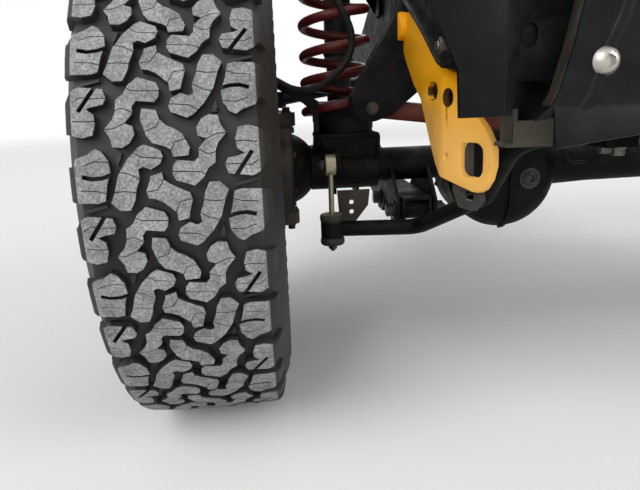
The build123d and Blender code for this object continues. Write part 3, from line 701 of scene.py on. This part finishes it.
class FRONTEND_OT_wheel_fittings(bpy.types.Operator):
    """Puts the nuts, the hub's locking dial and the valve on both wheels, and the seals on the knuckles"""
    bl_idname = "frontend.wheel_fittings"
    bl_label = "Wheel fittings"

    def execute(self, context):
        steel = bolt_steel()
        for side, sign in SIDES.items():
            out = (sign, 0, 0)
            nuts = [(sign * NUT_SEAT_X, y, z) for y, z in circle(5, NUT_CIRCLE, 90)]
            screws = [(sign * (HUB_FACE_X - 0.5), y, z) for y, z in circle(6, 33)]
            pieces = copies(hex_head(19, 15, 0, 4), nuts, out) + copies(button_head(9, 4, 4), screws, out)
            dial = lathe([(0, -1), (23, -1), (23, 2), (21, 3.4), (0, 3.4)], 40)
            grip = block((0, 0, 5 * MM), (36 * MM, 7 * MM, 7 * MM))
            apply_modifier(grip, "BEVEL", width=2 * MM, segments=3)
            pieces.append(stood(joined([dial, grip], "dial"), spot(sign * HUB_FACE_X, 0, 0), out))
            valve = lathe([(0, -12), (5.5, -12), (5.5, 0), (4, 3), (3.6, 18), (4.1, 18.5), (4.1, 26),
                           (3.4, 27.5), (0, 27.5)], 20)
            pieces.append(stood(valve, spot(sign * HUB_FACE_X, 0, 190), (sign, 0, -0.35)))
            placed(pieces, f"wheel_fittings_{side}", f"wheel_{side}", steel)
            self.knuckle(side, sign)
        return {"FINISHED"}

    @staticmethod
    def knuckle(side, sign):
        """Seal plate with its bolts, kingpin cap bolts and the nuts of the rod ends."""
        x = sign * KINGPIN_X
        inward = (-sign, 0, 0)
        seal = lathe([(60, 0), (71, 0), (71, 2.4), (69.5, 3.6), (61, 3.6), (60, 2.6)], 64, ring=True)
        pieces = [stood(seal, spot(x - sign * 15, 0, 0), inward)]
        rim = [(x - sign * 18.6, y, z) for y, z in circle(8, 65.5, 22.5)]
        pieces += copies(hex_head(8, 4.5), rim, inward)
        for up in (-1, 1):
            cap = [(x + dx, y, up * 86) for dx, y in circle(4, 17.5, 45)]
            pieces += copies(hex_head(11, 6, 15), cap, (0, 0, up))
        pieces.append(bolt((19, 12, 24, 5), x, 150, 2, (0, 0, 1)))
        if side == "right":
            pieces.append(bolt((19, 12, 24, 4), x, 150, 70, (0, 0, -1)))
        pieces += copies(hex_head(13, 8), [(x + sign * 44, y, 52) for y in (-134, -102)], inward)
        placed(pieces, f"knuckle_fittings_{side}", f"knuckle_{side}",
               bolt_steel(f"knuckle_bolts_{side}", (0.03, 0.028, 0.026), 0.55))


class FRONTEND_OT_axle_fittings(bpy.types.Operator):
    """Puts the bolts, nuts, plug and rubber washers on the axle and its suspension"""
    bl_idname = "frontend.axle_fittings"
    bl_label = "Axle fittings"

    def execute(self, context):
        dirt = context.scene.frontend_paint.dirt
        pieces = []
        for sign in SIDES.values():
            pieces += bolts(AXLE_BOLTS, sign)
        pieces += copies(hex_head(11, 5.5, 17), [(x, -117, z) for x, z in LATERAL_ENDS], (0, -1, 0))
        pieces += copies(hex_head(17, 11, 27, 3), [(x, -73, z) for x, z in LATERAL_ENDS], (0, 1, 0))
        cover = [(DIFF_X + x, 46, DIFF_Z + z) for x, z in circle(10, 82, 18)]
        pieces += copies(hex_head(8, 6), cover, (0, 1, 0))
        boss = lathe([(0, -3), (17, -3), (15.5, 1), (0, 1)], 40)
        for piece in (boss, button_head(25, 5.5, 10)):
            pieces.append(stood(piece, spot(-216.5, -75.6, -23), (0, -1, 0)))
        placed(pieces, "axle_fittings", "root",
               bolt_steel("dull_bolts", (0.06, 0.058, 0.055), 0.5))
        neck = lathe([(0, 0), (44, 0), (41, 30), (38, 90), (37, 200), (30, 225), (26, 228), (0, 228)], 48)
        # Near-black paint, darkened further as painted shade of the body above.
        placed([stood(neck, spot(-180, 0, -4), (1, 0, 0))], "axle_neck", "root",
               painted("neck_black_painted_shade", (0.004, 0.004, 0.004), dirt, 0.5, dirt_amount=0.12, grain=(320, 0.5),
                       specular=0.1))
        tab = [(-503, -34), (-452, -34), (-455, -59), (-476, -85), (-500, -84)]
        holes = [rounded((-481, z), 7, 7, 3.4) for z in (-53, -68)]
        placed([facing(sign, tab, -31.5, -28.5, holes) for sign in SIDES.values()], "axle_tabs", "root",
               painted("tab_brown", (0.07, 0.05, 0.038), dirt, 0.6, dirt_amount=0.3))
        rubbers = []
        for sign in SIDES.values():
            washer = lathe([(9, 0), (17, 0), (18.5, 2.5), (17, 8.4), (9, 8.4)], 32, ring=True)
            rubbers.append(stood(washer, spot(sign * SHOCK_X, SHOCK_Y, 305.3), (0, 0, 1)))
            boot = [(0, 0), (24, 0), (26, 6), (22.5, 11), (25, 17), (22, 22), (23.5, 28), (20, 32), (0, 32)]
            rubbers.append(stood(lathe(boot, 32), spot(sign * SHOCK_X, SHOCK_Y, 158), (0, 0, 1)))
            cushion = [(0, -0.2), (16.4, -0.2), (18, 2.5), (18, 7.6), (16.4, 10.6), (0, 10.6)]
            seats = [(sign * LINK_X, LINK_Y, z) for z in (-106.5, -71.8)]
            rubbers += copies(lathe(cushion, 32), seats, (0, 0, 1))
        placed(rubbers, "rubber_washers", "root",
               painted("rubber_washers", (0.018, 0.018, 0.018), dirt, 0.7))
        return {"FINISHED"}


class FRONTEND_OT_frame_fittings(bpy.types.Operator):
    """Puts the bolts and nuts on the frame, the bumper and the steering box"""
    bl_idname = "frontend.frame_fittings"
    bl_label = "Frame fittings"

    def execute(self, context):
        front = [(sign * 324.5, BUMPER_FACE, 128) for sign in SIDES.values()]
        shiny = copies(button_head(23.5, 6.5, 9.5), front, (0, -1, 0))
        dull = [made for sign in SIDES.values() for made in bolts(FRAME_BOLTS, sign)]
        lid = [(STEERING_BOX_X + x, y, 350) for x, y in circle(4, 30, 45)]
        dull += copies(hex_head(13, 7, 18), lid, (0, 0, 1))
        nut = bolt((27, 12, 38, 4), STEERING_BOX_X, 0, 246, (0, 0, -1))
        for pieces, name, body, steel in (
                (shiny, "bumper_bolts", "root", ("bright_bolts", (0.5, 0.47, 0.44), 0.3)),
                (dull, "frame_fittings", "root", ("worn_bolts", (0.2, 0.19, 0.17), 0.42)),
                ([nut], "pitman_nut", "pitman_arm", ("pitman_nut", (0.2, 0.18, 0.15), 0.45))):
            placed(pieces, name, body, bolt_steel(*steel))
        return {"FINISHED"}


class FRONTEND_OT_hooks(bpy.types.Operator):
    """Makes the bent tow hooks with their eyes and slots"""
    bl_idname = "frontend.hooks"
    bl_label = "Tow hooks"

    def execute(self, context):
        paint = hook_paint(context.scene.frontend_paint)
        for side, sign in SIDES.items():
            holes = [rounded((-343, 41.5), 35, 34.5, 10), rounded((-304.5, 42.2), 8, 8, 3.9)]
            holes += [rounded((y, z), wide, tall, 6.5) for y, z, wide, tall in HOOK_SLOTS]
            plate = sideways(HOOK_RIM, sign * HOOK_IN, sign * HOOK_OUT, holes, 1.1)
            folds = [HOOK_FOLD_Y + HOOK_BEND * step / 2 for step in range(-2, 3)]
            sliced(plate, (0, 1, 0), [AXLE.y + fold * MM for fold in folds])
            for vertex in plate.data.vertices:
                past = HOOK_FOLD_Y - (vertex.co.y - AXLE.y) / MM
                reach = past if past > HOOK_BEND else max(past + HOOK_BEND, 0) ** 2 / (4 * HOOK_BEND)
                vertex.co.x -= sign * reach * math.tan(HOOK_TURN) * MM
            boss = lathe([(0, -1), (18, -1), (18, 5), (17.3, 7), (15.5, 8), (0, 8)], 48)
            boss = stood(boss, spot(sign * HOOK_OUT, -115, 193), (sign, 0, 0))
            instead([plate, boss], f"hook_{side}", f"tow_hook_{side}", paint)
        return {"FINISHED"}


class FRONTEND_OT_bumper(bpy.types.Operator):
    """Makes the bumper's centre with its slanted lip, and its ends with their stays and plates"""
    bl_idname = "frontend.bumper"
    bl_label = "Bumper"

    def execute(self, context):
        paint = context.scene.frontend_paint
        black = painted("bumper_black", paint.black, paint.dirt, 0.35, dirt_amount=0.07, grain=(700, 0.06),
                        specular=0.14)
        dusty = painted("edge_dust", (0.028, 0.024, 0.02), paint.dirt, 0.6, dirt_amount=0.3, specular=0.1)
        grey = painted("angle_grey", (0.062, 0.057, 0.044), paint.dirt, 0.6, dirt_amount=0.3, specular=0.2)
        instead(self.centre(), "bumper_middle", "bumper_centre", black)
        wall = band([(x + 2, z) for x, z in BUMPER_EDGE[:-1]], SHEET)
        walls = [facing(sign, wall, -437.5, -420) for sign in SIDES.values()]
        instead(walls, "bumper_walls", "bumper_centre", dusty)
        for side, sign in SIDES.items():
            instead(self.end(sign), f"bumper_wing_{side}", f"bumper_end_{side}", black)
            instead(self.angle(sign), f"bumper_angle_{side}", f"bumper_end_{side}", grey)
        return {"FINISHED"}

    @staticmethod
    def centre():
        """Face with its pressed lines, returns behind its edges, and the lip below."""
        outline = BUMPER_EDGE + [(-366, 84), (366, 84)] + flipped(BUMPER_EDGE, 1)[::-1]
        made = [upright(outline, BUMPER_FACE, BUMPER_INSIDE, edge=1.2)]
        made.append(upright([(-327, 262), (327, 262), (328, 258), (-328, 258)], -437, -404.5))
        levels = []
        for x, z in BUMPER_LIP + flipped(BUMPER_LIP, 1)[::-1]:
            ring = [(-440.3, 94), (-443, 88), (-448.5, z), (-445.5, z - 1), (-440, 86), (-436.8, 92)]
            levels.append([spot(x, y, high) for y, high in ring])
        made.append(edged(loft(levels), 0.7))
        for sign in SIDES.values():
            gusset = [(-437, 258), (-437, 175), (-404.5, 190), (-404.5, 258)]
            made.append(sideways(gusset, sign * 318, sign * 322))
            line = [(283, 258), (308.5, 173), (312.5, 159), (320.5, 141), (332.5, 101), (343, 86)]
            made.append(face_ridge([(sign * x, z) for x, z in line], 13, 2.2, BUMPER_FACE))
        return made

    @staticmethod
    def end(sign):
        """Wing with its lip and inner flange, stay with its folded edge, and the rail's end plate."""
        wing = edged(facing(sign, WING, BUMPER_FACE, -434, edge=0.3), 2)
        inner = [(x + (4 if x < -420 else -SHEET), z + (4 if z < 100 else 0 if z < 200 else -SHEET))
                 for x, z in WING]
        cut(wing, facing(sign, inner, BUMPER_INSIDE, -405, edge=0.1))
        levels = []
        for z, reach in ((87.7, 397), (132, 393), (177, 394.5), (261.5, 396)):
            ring = [(408.5, -440), (407, -440.6), (reach, -430.5), (reach, -427.5), (408.5, -436.5)]
            levels.append([spot(sign * x, y, z) for x, y in ring])
        stay = STAY_EDGE[::-1] + [(-108, 262), (-180, 268), (-398, 268), (-430, 256), (-430, 132)]
        plate = [(-402, 115), (-347, 115), (-305, 180), (-305, 262), (-402, 262)]
        hole = rounded((-373.3, 152.8), 13, 20, 6.4)
        return [wing, loft(levels), sideways(stay, sign * STAY_IN, sign * STAY_OUT),
                sideways(band(STAY_EDGE, SHEET), sign * STAY_IN, sign * STAY_FLANGE),
                facing(sign, plate, RAIL_END + 0.2, -400.3, [hole]),
                facing(sign, [(-379, 62), (-325, 62), (-325, 171.5), (-379, 171.5)], -376, -372),
                facing(sign, [(-386, 139), (-361, 139), (-361, 167), (-386, 167)], -401.6, -399),
                sideways([(-300, 95), (-205, 95), (-205, 122), (-300, 122)], sign * 405, sign * 400)]

    @staticmethod
    def angle(sign):
        """Folded angle under the rail's front end."""
        return [plate_box((sign * 384, sign * 380), (-404, -372), (58, 92)),
                plate_box((sign * 384, sign * 347), (RAIL_END, -400.4), (58, 81.5)),
                plate_box((sign * 391, sign * 347), (-404.2, -376), (58, 62))]


class FRONTEND_OT_suspension(bpy.types.Operator):
    """Makes the coil springs, the spring seats, and the lateral rod with its bracket"""
    bl_idname = "frontend.suspension"
    bl_label = "Suspension"

    def execute(self, context):
        paint = context.scene.frontend_paint
        red = painted("coil_red", paint.spring, paint.dirt, 0.4, dirt_amount=0.25, specular=0.3)
        # The seats take the default black, which holds painted shade of the body above.
        black = painted("seat_black_painted_shade", paint.black, paint.dirt, 0.6, dirt_amount=0.12, specular=0.08)
        rusty = painted("rod_red", (0.13, 0.022, 0.014), paint.dirt, 0.5, dirt_amount=0.35, specular=0.2)
        for side, sign in SIDES.items():
            instead([self.coil(sign)], f"coil_{side}", f"coil_spring_{side}", red)
            instead(self.seat(sign), f"seat_{side}", f"spring_seat_{side}", black)
        instead(self.bracket(), "rod_bracket", "lateral_rod_bracket", black)
        instead(self.lateral_rod(), "lateral_bar", "lateral_rod", rusty)
        return {"FINISHED"}

    @staticmethod
    def lateral_rod():
        """Straight rod with an eye at each end."""
        first, last = (spot(x, ROD_Y, z) for x, z in LATERAL_ENDS)
        length = (last - first).length / MM
        pieces = [stood(lathe([(0, 0), (13, 0), (13, length), (0, length)], 40), first, last - first)]
        for (x, z), radius in zip(LATERAL_ENDS, (17, 23)):
            eye = lathe([(0, 0), (radius - 1, 0), (radius, 1), (radius, 30), (radius - 1, 31), (0, 31)], 40)
            pieces.append(stood(eye, spot(x, ROD_Y - 15.5, z), (0, 1, 0)))
        return pieces

    @staticmethod
    def coil(sign):
        """Coil of thick wire with a flat turn at its foot."""
        steps = 36
        levels = []
        for k in range(6 * steps + 19):
            turn = k / steps - 0.5
            angle = 2 * math.pi * turn
            ring = []
            for out, up in circle(12, COIL_WIRE_R):
                radius = COIL_R + out
                ring.append(spot(sign * (COIL_X + radius * math.cos(angle)), -radius * math.sin(angle),
                                 between(COIL_HEIGHTS, turn) + up))
            levels.append(ring)
        return smoothed(loft(levels), 50)

    @staticmethod
    def seat(sign):
        """Lift spacer on its saddle, cheeks down to the axle tube, and the lug of the stabiliser link."""
        drum = [(0, 52), (40, 52), (42, 55), (41.3, 60), (41.8, 70), (40.5, 77), (0, 77.6)]
        boss = [(0, 70), (37, 70), (37, 96), (33, 100), (0, 100)]
        front = [(-527, 48), (-441, 48), (-446, 18), (-520, 18)]
        cheek = [(-40, 48), (40, 48), (33, 12), (-33, 12)]
        return [stood(lathe(drum, 56), spot(sign * 484, 0, 0), (0, 0, 1)),
                stood(lathe(boss, 48), spot(sign * COIL_X, 0, 0), (0, 0, 1)),
                plate_box((sign * 533, sign * 437), (-43, 43), (44, 53), 3),
                facing(sign, front, -42, -37), facing(sign, front, 37, 42),
                sideways(cheek, sign * 441, sign * 436), sideways(cheek, sign * 527, sign * 522),
                plate_box((sign * 508.5, sign * 502.5), (-89, -36), (6, 26))]

    @staticmethod
    def bracket():
        """Two hanging plates with round ends and a wall along their outer edge."""
        low = [(-462 + 26 * math.cos(math.radians(turn)), 98 + 26 * math.sin(math.radians(turn)))
               for turn in range(168, 295, 9)]
        inner = [(-434, 79), (-416, 95), (-396, 111), (-398, 128), (-411.6, 172)]
        outline = low + inner + BRACKET_EDGE[::-1]
        wall = [(x + 2, z - 1) for x, z in BRACKET_EDGE]
        x, z = LATERAL_ENDS[0]
        pin = lathe([(0, 0), (6, 0), (6, 46), (0, 46)])
        plates = [upright(outline, *faces, edge=1.2) for faces in BRACKET_FACES]
        return [*plates, upright(band(wall, 4), -115, -75), stood(pin, spot(x, -119, z), (0, 1, 0))]


def feed(tree, socket, value):
    """Links a shader socket to another node's output, or sets its value."""
    if isinstance(value, bpy.types.NodeSocket):
        tree.links.new(value, socket)
    else:
        socket.default_value = value


def put(tree, kind, settings=None, **inputs):
    """Adds a shader node, sets its properties, and sets or links its inputs by name."""
    made = tree.nodes.new(kind)
    for key, value in (settings or {}).items():
        setattr(made, key, value)
    for key, value in inputs.items():
        feed(tree, made.inputs[key.replace("_", " ")], value)
    return made


def fresh(name):
    """A material with an empty principled shader: (material, tree, shader, object coordinates)."""
    material = bpy.data.materials.new(name)
    material.use_nodes = True
    tree = material.node_tree
    shader = tree.nodes["Principled BSDF"]
    place = put(tree, "ShaderNodeTexCoord").outputs["Object"]
    return material, tree, shader, place


def noise(tree, place, scale, detail, roughness=0.55):
    """Cloudy value between 0 and 1."""
    return put(tree, "ShaderNodeTexNoise", Vector=place, Scale=scale, Detail=detail,
               Roughness=roughness).outputs["Fac"]


def span(tree, value, low, high, to_low=0.0, to_high=1.0):
    """Maps a value between two limits onto two others, held beyond them."""
    return put(tree, "ShaderNodeMapRange", Value=value, From_Min=low, From_Max=high, To_Min=to_low,
               To_Max=to_high).outputs["Result"]


def math_of(tree, kind, first, second):
    """Two values worked into one, held between 0 and 1."""
    made = put(tree, "ShaderNodeMath", {"operation": kind, "use_clamp": True})
    feed(tree, made.inputs[0], first)
    feed(tree, made.inputs[1], second)
    return made.outputs[0]


def times(tree, first, second):
    """Product of two values, held between 0 and 1."""
    return math_of(tree, "MULTIPLY", first, second)


def vector_math(tree, kind, first, second=None):
    """Two vectors worked into one, or the length of one."""
    made = put(tree, "ShaderNodeVectorMath", {"operation": kind}, Vector=first)
    if second:
        made.inputs[1].default_value = second
    return made.outputs["Value" if kind == "LENGTH" else "Vector"]


def mixed(tree, factor, first, second):
    """Colour between two colours."""
    made = put(tree, "ShaderNodeMix", {"data_type": "RGBA"})
    feed(tree, made.inputs[0], factor)
    for socket, value in ((made.inputs[6], first), (made.inputs[7], second)):
        feed(tree, socket, value if isinstance(value, bpy.types.NodeSocket) else (*value[:3], 1))
    return made.outputs[2]


def bumped(tree, shader, height, depth, strength):
    """Gives the shader a bump of that depth in metres."""
    bump = put(tree, "ShaderNodeBump", Height=height, Distance=depth, Strength=strength)
    tree.links.new(bump.outputs["Normal"], shader.inputs["Normal"])


def lying_dirt(tree, place, amount):
    """Mask of dust that lies on surfaces that face up, broken by noise."""
    normal = put(tree, "ShaderNodeTexCoord").outputs["Normal"]
    up = put(tree, "ShaderNodeSeparateXYZ", Vector=normal).outputs["Z"]
    patches = span(tree, noise(tree, place, 38, 6), 0.35, 0.7)
    lies = span(tree, up, -0.35, 0.95, 0.12, 1.0)
    return times(tree, times(tree, patches, lies), amount)


def tyre_rubber(settings):
    """Black rubber with pale dust rubbed onto the tops of the blocks."""
    material, tree, shader, place = fresh("tyre_rubber")
    height = put(tree, "ShaderNodeAttribute", {"attribute_name": "block_height"}).outputs["Fac"]
    top = span(tree, height, 0.88, 0.985)
    patches = span(tree, noise(tree, place, 45, 8, 0.7), 0.28, 0.72, 0.35, 1.0)
    specks = span(tree, noise(tree, place, 420, 5, 0.65), 0.33, 0.62, 0.3, 1.0)
    scuffs = span(tree, noise(tree, place, 150, 6, 0.7), 0.5, 0.75)
    worn = times(tree, times(tree, patches, specks), top)
    film = span(tree, noise(tree, place, 24, 5), 0.35, 0.8, 0.02, 0.16)
    clean = mixed(tree, film, settings.rubber, (0.16, 0.14, 0.115))
    dusty = mixed(tree, scuffs, settings.dust, [value * 1.35 for value in settings.dust])
    tree.links.new(mixed(tree, worn, clean, dusty), shader.inputs["Base Color"])
    tree.links.new(span(tree, worn, 0, 1, 0.62, 0.92), shader.inputs["Roughness"])
    bumped(tree, shader, noise(tree, place, 900, 4, 0.6), 0.35 * MM, 0.5)
    return material


def painted(name, shade, dirt, roughness, metallic=0.0, dirt_amount=0.6, grain=(240, 0.12), chips=None,
            specular=0.35):
    """Painted metal with uneven gloss, a fine grain, dust where it faces up, and chips of rust if asked."""
    material, tree, shader, place = fresh(name)
    uneven = span(tree, noise(tree, place, 9, 3), 0.3, 0.7, 0.78, 1.2)
    tone = put(tree, "ShaderNodeVectorMath", {"operation": "SCALE"}, Scale=uneven)
    tone.inputs[0].default_value = shade[:3]
    base = tone.outputs["Vector"]
    if chips:
        size, share, rust = chips
        spots = span(tree, noise(tree, place, size, 8, 0.7), 0.66 - share, 0.7 - share)
        base = mixed(tree, spots, base, rust)
    dust = lying_dirt(tree, place, dirt_amount)
    tree.links.new(mixed(tree, dust, base, dirt), shader.inputs["Base Color"])
    gloss = span(tree, noise(tree, place, 60, 5), 0.3, 0.7, roughness - 0.1, roughness + 0.14)
    tree.links.new(math_of(tree, "MAXIMUM", gloss, dust), shader.inputs["Roughness"])
    shader.inputs["Metallic"].default_value = metallic
    shader.inputs["Specular IOR Level"].default_value = specular
    bumped(tree, shader, noise(tree, place, grain[0], 4), grain[1] * MM, 0.4)
    return material


def hook_paint(paint):
    """Yellow paint, paler towards the nose as a painted highlight, with rust that runs down from the slots
    and painted shade in them.
    """
    material, tree, shader, place = fresh("hook_yellow")
    parts = put(tree, "ShaderNodeSeparateXYZ", Vector=place)
    # Lower part mixed towards a paler yellow: painted highlight where the bent nose faces the light; the
    # cloud is the paint's own uneven tone.
    low = span(tree, parts.outputs["Z"], AXLE.z + 0.115, AXLE.z + 0.05)
    cloud = span(tree, noise(tree, place, 26, 5), 0.35, 0.68, 0.0, 0.12)
    base = mixed(tree, math_of(tree, "ADD", low, cloud), paint.hook, (0.98, 0.53, 0.125))
    column = put(tree, "ShaderNodeMapping", Vector=place, Scale=(1, 1, 0.12)).outputs["Vector"]
    streaks = span(tree, noise(tree, column, 210, 5, 0.7), 0.5, 0.66)
    slot_shade = None
    runs = None
    for y, z, wide, tall in HOOK_SLOTS:
        middle = spot(0, y, z)
        offset = vector_math(tree, "SUBTRACT", place, (0, middle.y, middle.z))
        share = vector_math(tree, "MULTIPLY", offset, (0, 2 / MM / wide, 2 / MM / tall))
        # Mask of each slot's walls and a thin rim round them, which get painted shade below.
        inside = span(tree, vector_math(tree, "LENGTH", share), 1.2, 1.08)
        parted = put(tree, "ShaderNodeSeparateXYZ", Vector=share)
        width = span(tree, math_of(tree, "ABSOLUTE", parted.outputs["Y"], 0), 1.0, 0.5)
        below = times(tree, span(tree, parted.outputs["Z"], -0.8, -1.2),
                      span(tree, parted.outputs["Z"], -6.5, -1.5))
        run = times(tree, times(tree, width, below), streaks)
        slot_shade = inside if slot_shade is None else math_of(tree, "MAXIMUM", slot_shade, inside)
        runs = run if runs is None else math_of(tree, "MAXIMUM", runs, run)
    chips = span(tree, noise(tree, place, 60, 8, 0.7), 0.66, 0.7)
    base = mixed(tree, math_of(tree, "MAXIMUM", runs, chips), base, (0.2, 0.075, 0.015))
    # Nearly black in the slots and on a thin rim round them: painted shade.
    base = mixed(tree, times(tree, slot_shade, 0.93), base, (0.006, 0.005, 0.004))
    dust = lying_dirt(tree, place, 0.05)
    tree.links.new(mixed(tree, dust, base, paint.dirt), shader.inputs["Base Color"])
    tree.links.new(span(tree, noise(tree, place, 60, 5), 0.3, 0.7, 0.38, 0.6), shader.inputs["Roughness"])
    shader.inputs["Specular IOR Level"].default_value = 0.12
    bumped(tree, shader, noise(tree, place, 260, 4), 0.15 * MM, 0.4)
    return material


def bolt_steel(name="bolts", shade=(0.34, 0.31, 0.25), roughness=0.4):
    """Plated steel with a dull, blotchy film and a little rust."""
    return painted(name, shade, (0.2, 0.17, 0.13), roughness, 0.85, 0.35, (500, 0.05),
                   (160, 0.0, (0.12, 0.045, 0.02)))


def finishes(paint):
    """Finish for each material slot of the frame: its colour, its gloss and how dirty it is."""
    rust = (0.16, 0.055, 0.02)
    looks = {
        "black_frame": dict(shade=paint.black, roughness=0.5, dirt_amount=0.1, chips=(70, -0.01, rust),
                            specular=0.04),
        # Near-black axle paint, darkened further as painted shade of the body above.
        "black_axle": dict(shade=(0.004, 0.004, 0.004), roughness=0.5, dirt_amount=0.12, grain=(320, 0.5),
                           specular=0.1),
        "bumper_black": dict(shade=paint.black, roughness=0.4, dirt_amount=0.06, grain=(700, 0.06),
                             specular=0.1),
        "eye_grey": dict(shade=(0.05, 0.047, 0.044), roughness=0.6, dirt_amount=0.2, specular=0.2),
        "red_paint": dict(shade=paint.spring, roughness=0.42, dirt_amount=0.3, specular=0.25),
        "blue_paint": dict(shade=paint.steering, roughness=0.42, dirt_amount=0.3, specular=0.25),
        "cast_iron": dict(shade=(0.05, 0.045, 0.04), roughness=0.7, metallic=0.3, dirt_amount=0.6,
                          grain=(300, 0.8), chips=(60, 0.05, rust)),
        "zinc_steel": dict(shade=(0.42, 0.38, 0.26), roughness=0.42, metallic=0.75, dirt_amount=0.4,
                           chips=(90, 0.0, rust)),
        "shock_paint": dict(shade=(0.03, 0.03, 0.032), roughness=0.4, metallic=0.2, dirt_amount=0.3,
                            specular=0.15),
        "hose_rubber": dict(shade=(0.008, 0.008, 0.009), roughness=0.5, dirt_amount=0.15, grain=(900, 0.25),
                            specular=0.15),
        "stop_rubber": dict(shade=(0.012, 0.012, 0.012), roughness=0.75, dirt_amount=0.2, specular=0.15),
        "wheel_paint": dict(shade=(0.03, 0.031, 0.034), roughness=0.35, metallic=0.4, dirt_amount=0.35,
                            grain=(800, 0.05)),
    }
    made = {name: painted(name, dirt=paint.dirt, **look) for name, look in looks.items()}
    made["hook_yellow"] = hook_paint(paint)
    return made


class FRONTEND_OT_finishes(bpy.types.Operator):
    """Gives every node of the frame the finish of its material slot"""
    bl_idname = "frontend.finishes"
    bl_label = "Finishes"

    def execute(self, context):
        made = finishes(context.scene.frontend_paint)
        made["tyre_rubber"] = tyre_rubber(context.scene.frontend_tyre)
        for row in frame["record"]["subparts"]:
            coated(frame["nodes"][row["node"]], made[row["material_slot"]])
        return {"FINISHED"}


class FRONTEND_OT_stage(bpy.types.Operator):
    """Sets up the camera, the pale floor and the soft light"""
    bl_idname = "frontend.stage"
    bl_label = "Stage"

    def execute(self, context):
        settings = context.scene.frontend_stage
        scene = context.scene
        nothing_selected()
        bpy.ops.object.camera_add()
        camera = context.view_layer.objects.active
        camera.data.sensor_width = 36
        camera.data.lens = settings.lens
        camera.data.clip_start = 0.01
        down = math.pi / 2 - settings.tilt
        turn = (Matrix.Rotation(settings.heading, 4, "Z") @ Matrix.Rotation(down, 4, "X")
                @ Matrix.Rotation(settings.roll, 4, "Z"))
        camera.matrix_world = Matrix.Translation(settings.camera) @ turn
        scene.camera = camera
        bpy.ops.mesh.primitive_circle_add(vertices=96, radius=14, fill_type="NGON", location=(0, 0, GROUND))
        floor = coated(apply_place(context.view_layer.objects.active), self.floor_finish(settings.floor))
        floor.name = "floor"
        for name, place, size, power, aim in (
                ("front_left", (-2.6, -3.4, 2.3), 3.0, 95, (0.1, -0.6, -0.2)),
                ("front_right", (2.8, -3.0, 1.6), 2.6, 55, (0, -0.6, -0.1)),
                ("rear", (0.5, 2.8, 2.4), 3.0, 60, (0, -0.3, -0.1))):
            bpy.ops.object.light_add(type="AREA", location=place)
            lamp = context.view_layer.objects.active
            lamp.name = name
            lamp.data.size = size
            lamp.data.energy = power
            lamp.rotation_euler = (Vector(aim) - Vector(place)).to_track_quat("-Z", "Y").to_euler()
        self.sky(scene)
        scene.view_settings.view_transform = "Standard"
        return {"FINISHED"}

    @staticmethod
    def floor_finish(shade):
        """Pale floor that fades into the white background far away, and keeps its shadows near by."""
        material, tree, shader, place = fresh("floor")
        tree.nodes.remove(shader)
        plain = put(tree, "ShaderNodeBsdfDiffuse", Color=(*shade, 1), Roughness=1.0)
        glow = put(tree, "ShaderNodeEmission", Color=(1, 1, 1, 1), Strength=1.0)
        far = vector_math(tree, "LENGTH", place)
        ray = put(tree, "ShaderNodeLightPath").outputs["Is Camera Ray"]
        share = times(tree, span(tree, far, 1.2, 9.0), ray)
        both = put(tree, "ShaderNodeMixShader", Fac=share)
        tree.links.new(plain.outputs[0], both.inputs[1])
        tree.links.new(glow.outputs[0], both.inputs[2])
        tree.links.new(both.outputs[0], tree.nodes["Material Output"].inputs["Surface"])
        return material

    @staticmethod
    def sky(scene):
        """Even light from all round, seen as white."""
        world = bpy.data.worlds.new("studio")
        world.use_nodes = True
        scene.world = world
        tree = world.node_tree
        back = tree.nodes["Background"]
        back.inputs["Color"].default_value = (1, 1, 1, 1)
        path = put(tree, "ShaderNodeLightPath")
        seen = math_of(tree, "MAXIMUM", path.outputs["Is Camera Ray"], path.outputs["Is Glossy Ray"])
        tree.links.new(span(tree, seen, 0, 1, 0.55, 1.0), back.inputs["Strength"])


class FRONTEND_PT_panel(bpy.types.Panel):
    """Lists the pieces of the front end"""
    bl_idname = "FRONTEND_PT_panel"
    bl_label = "Front end"
    bl_space_type = "VIEW_3D"
    bl_region_type = "UI"
    bl_category = "Front end"

    def draw(self, context):
        for group in ("frontend_tyre", "frontend_paint", "frontend_stage"):
            settings = getattr(context.scene, group)
            box = self.layout.box()
            for key in settings.__annotations__:
                box.prop(settings, key)
        for operator in OPERATORS:
            self.layout.operator(operator.bl_idname)


SETTINGS = {"frontend_tyre": TyreSettings, "frontend_paint": PaintSettings, "frontend_stage": StageSettings}
OPERATORS = (FRONTEND_OT_stage, FRONTEND_OT_finishes, FRONTEND_OT_tyres, FRONTEND_OT_wheel_fittings,
             FRONTEND_OT_axle_fittings, FRONTEND_OT_frame_fittings, FRONTEND_OT_hooks, FRONTEND_OT_bumper,
             FRONTEND_OT_suspension)


def register():
    for kind in (*SETTINGS.values(), *OPERATORS, FRONTEND_PT_panel):
        bpy.utils.register_class(kind)
    for name, kind in SETTINGS.items():
        setattr(bpy.types.Scene, name, bpy.props.PointerProperty(type=kind))


def unregister():
    for name in SETTINGS:
        delattr(bpy.types.Scene, name)
    for kind in (FRONTEND_PT_panel, *OPERATORS, *SETTINGS.values()):
        bpy.utils.unregister_class(kind)


def main():
    register()
    bpy.ops.frontend.stage()
    bpy.ops.frontend.finishes()
    bpy.ops.frontend.tyres()
    bpy.ops.frontend.wheel_fittings()
    bpy.ops.frontend.axle_fittings()
    bpy.ops.frontend.frame_fittings()
    bpy.ops.frontend.hooks()
    bpy.ops.frontend.bumper()
    bpy.ops.frontend.suspension()


if __name__ == "__main__":
    main()
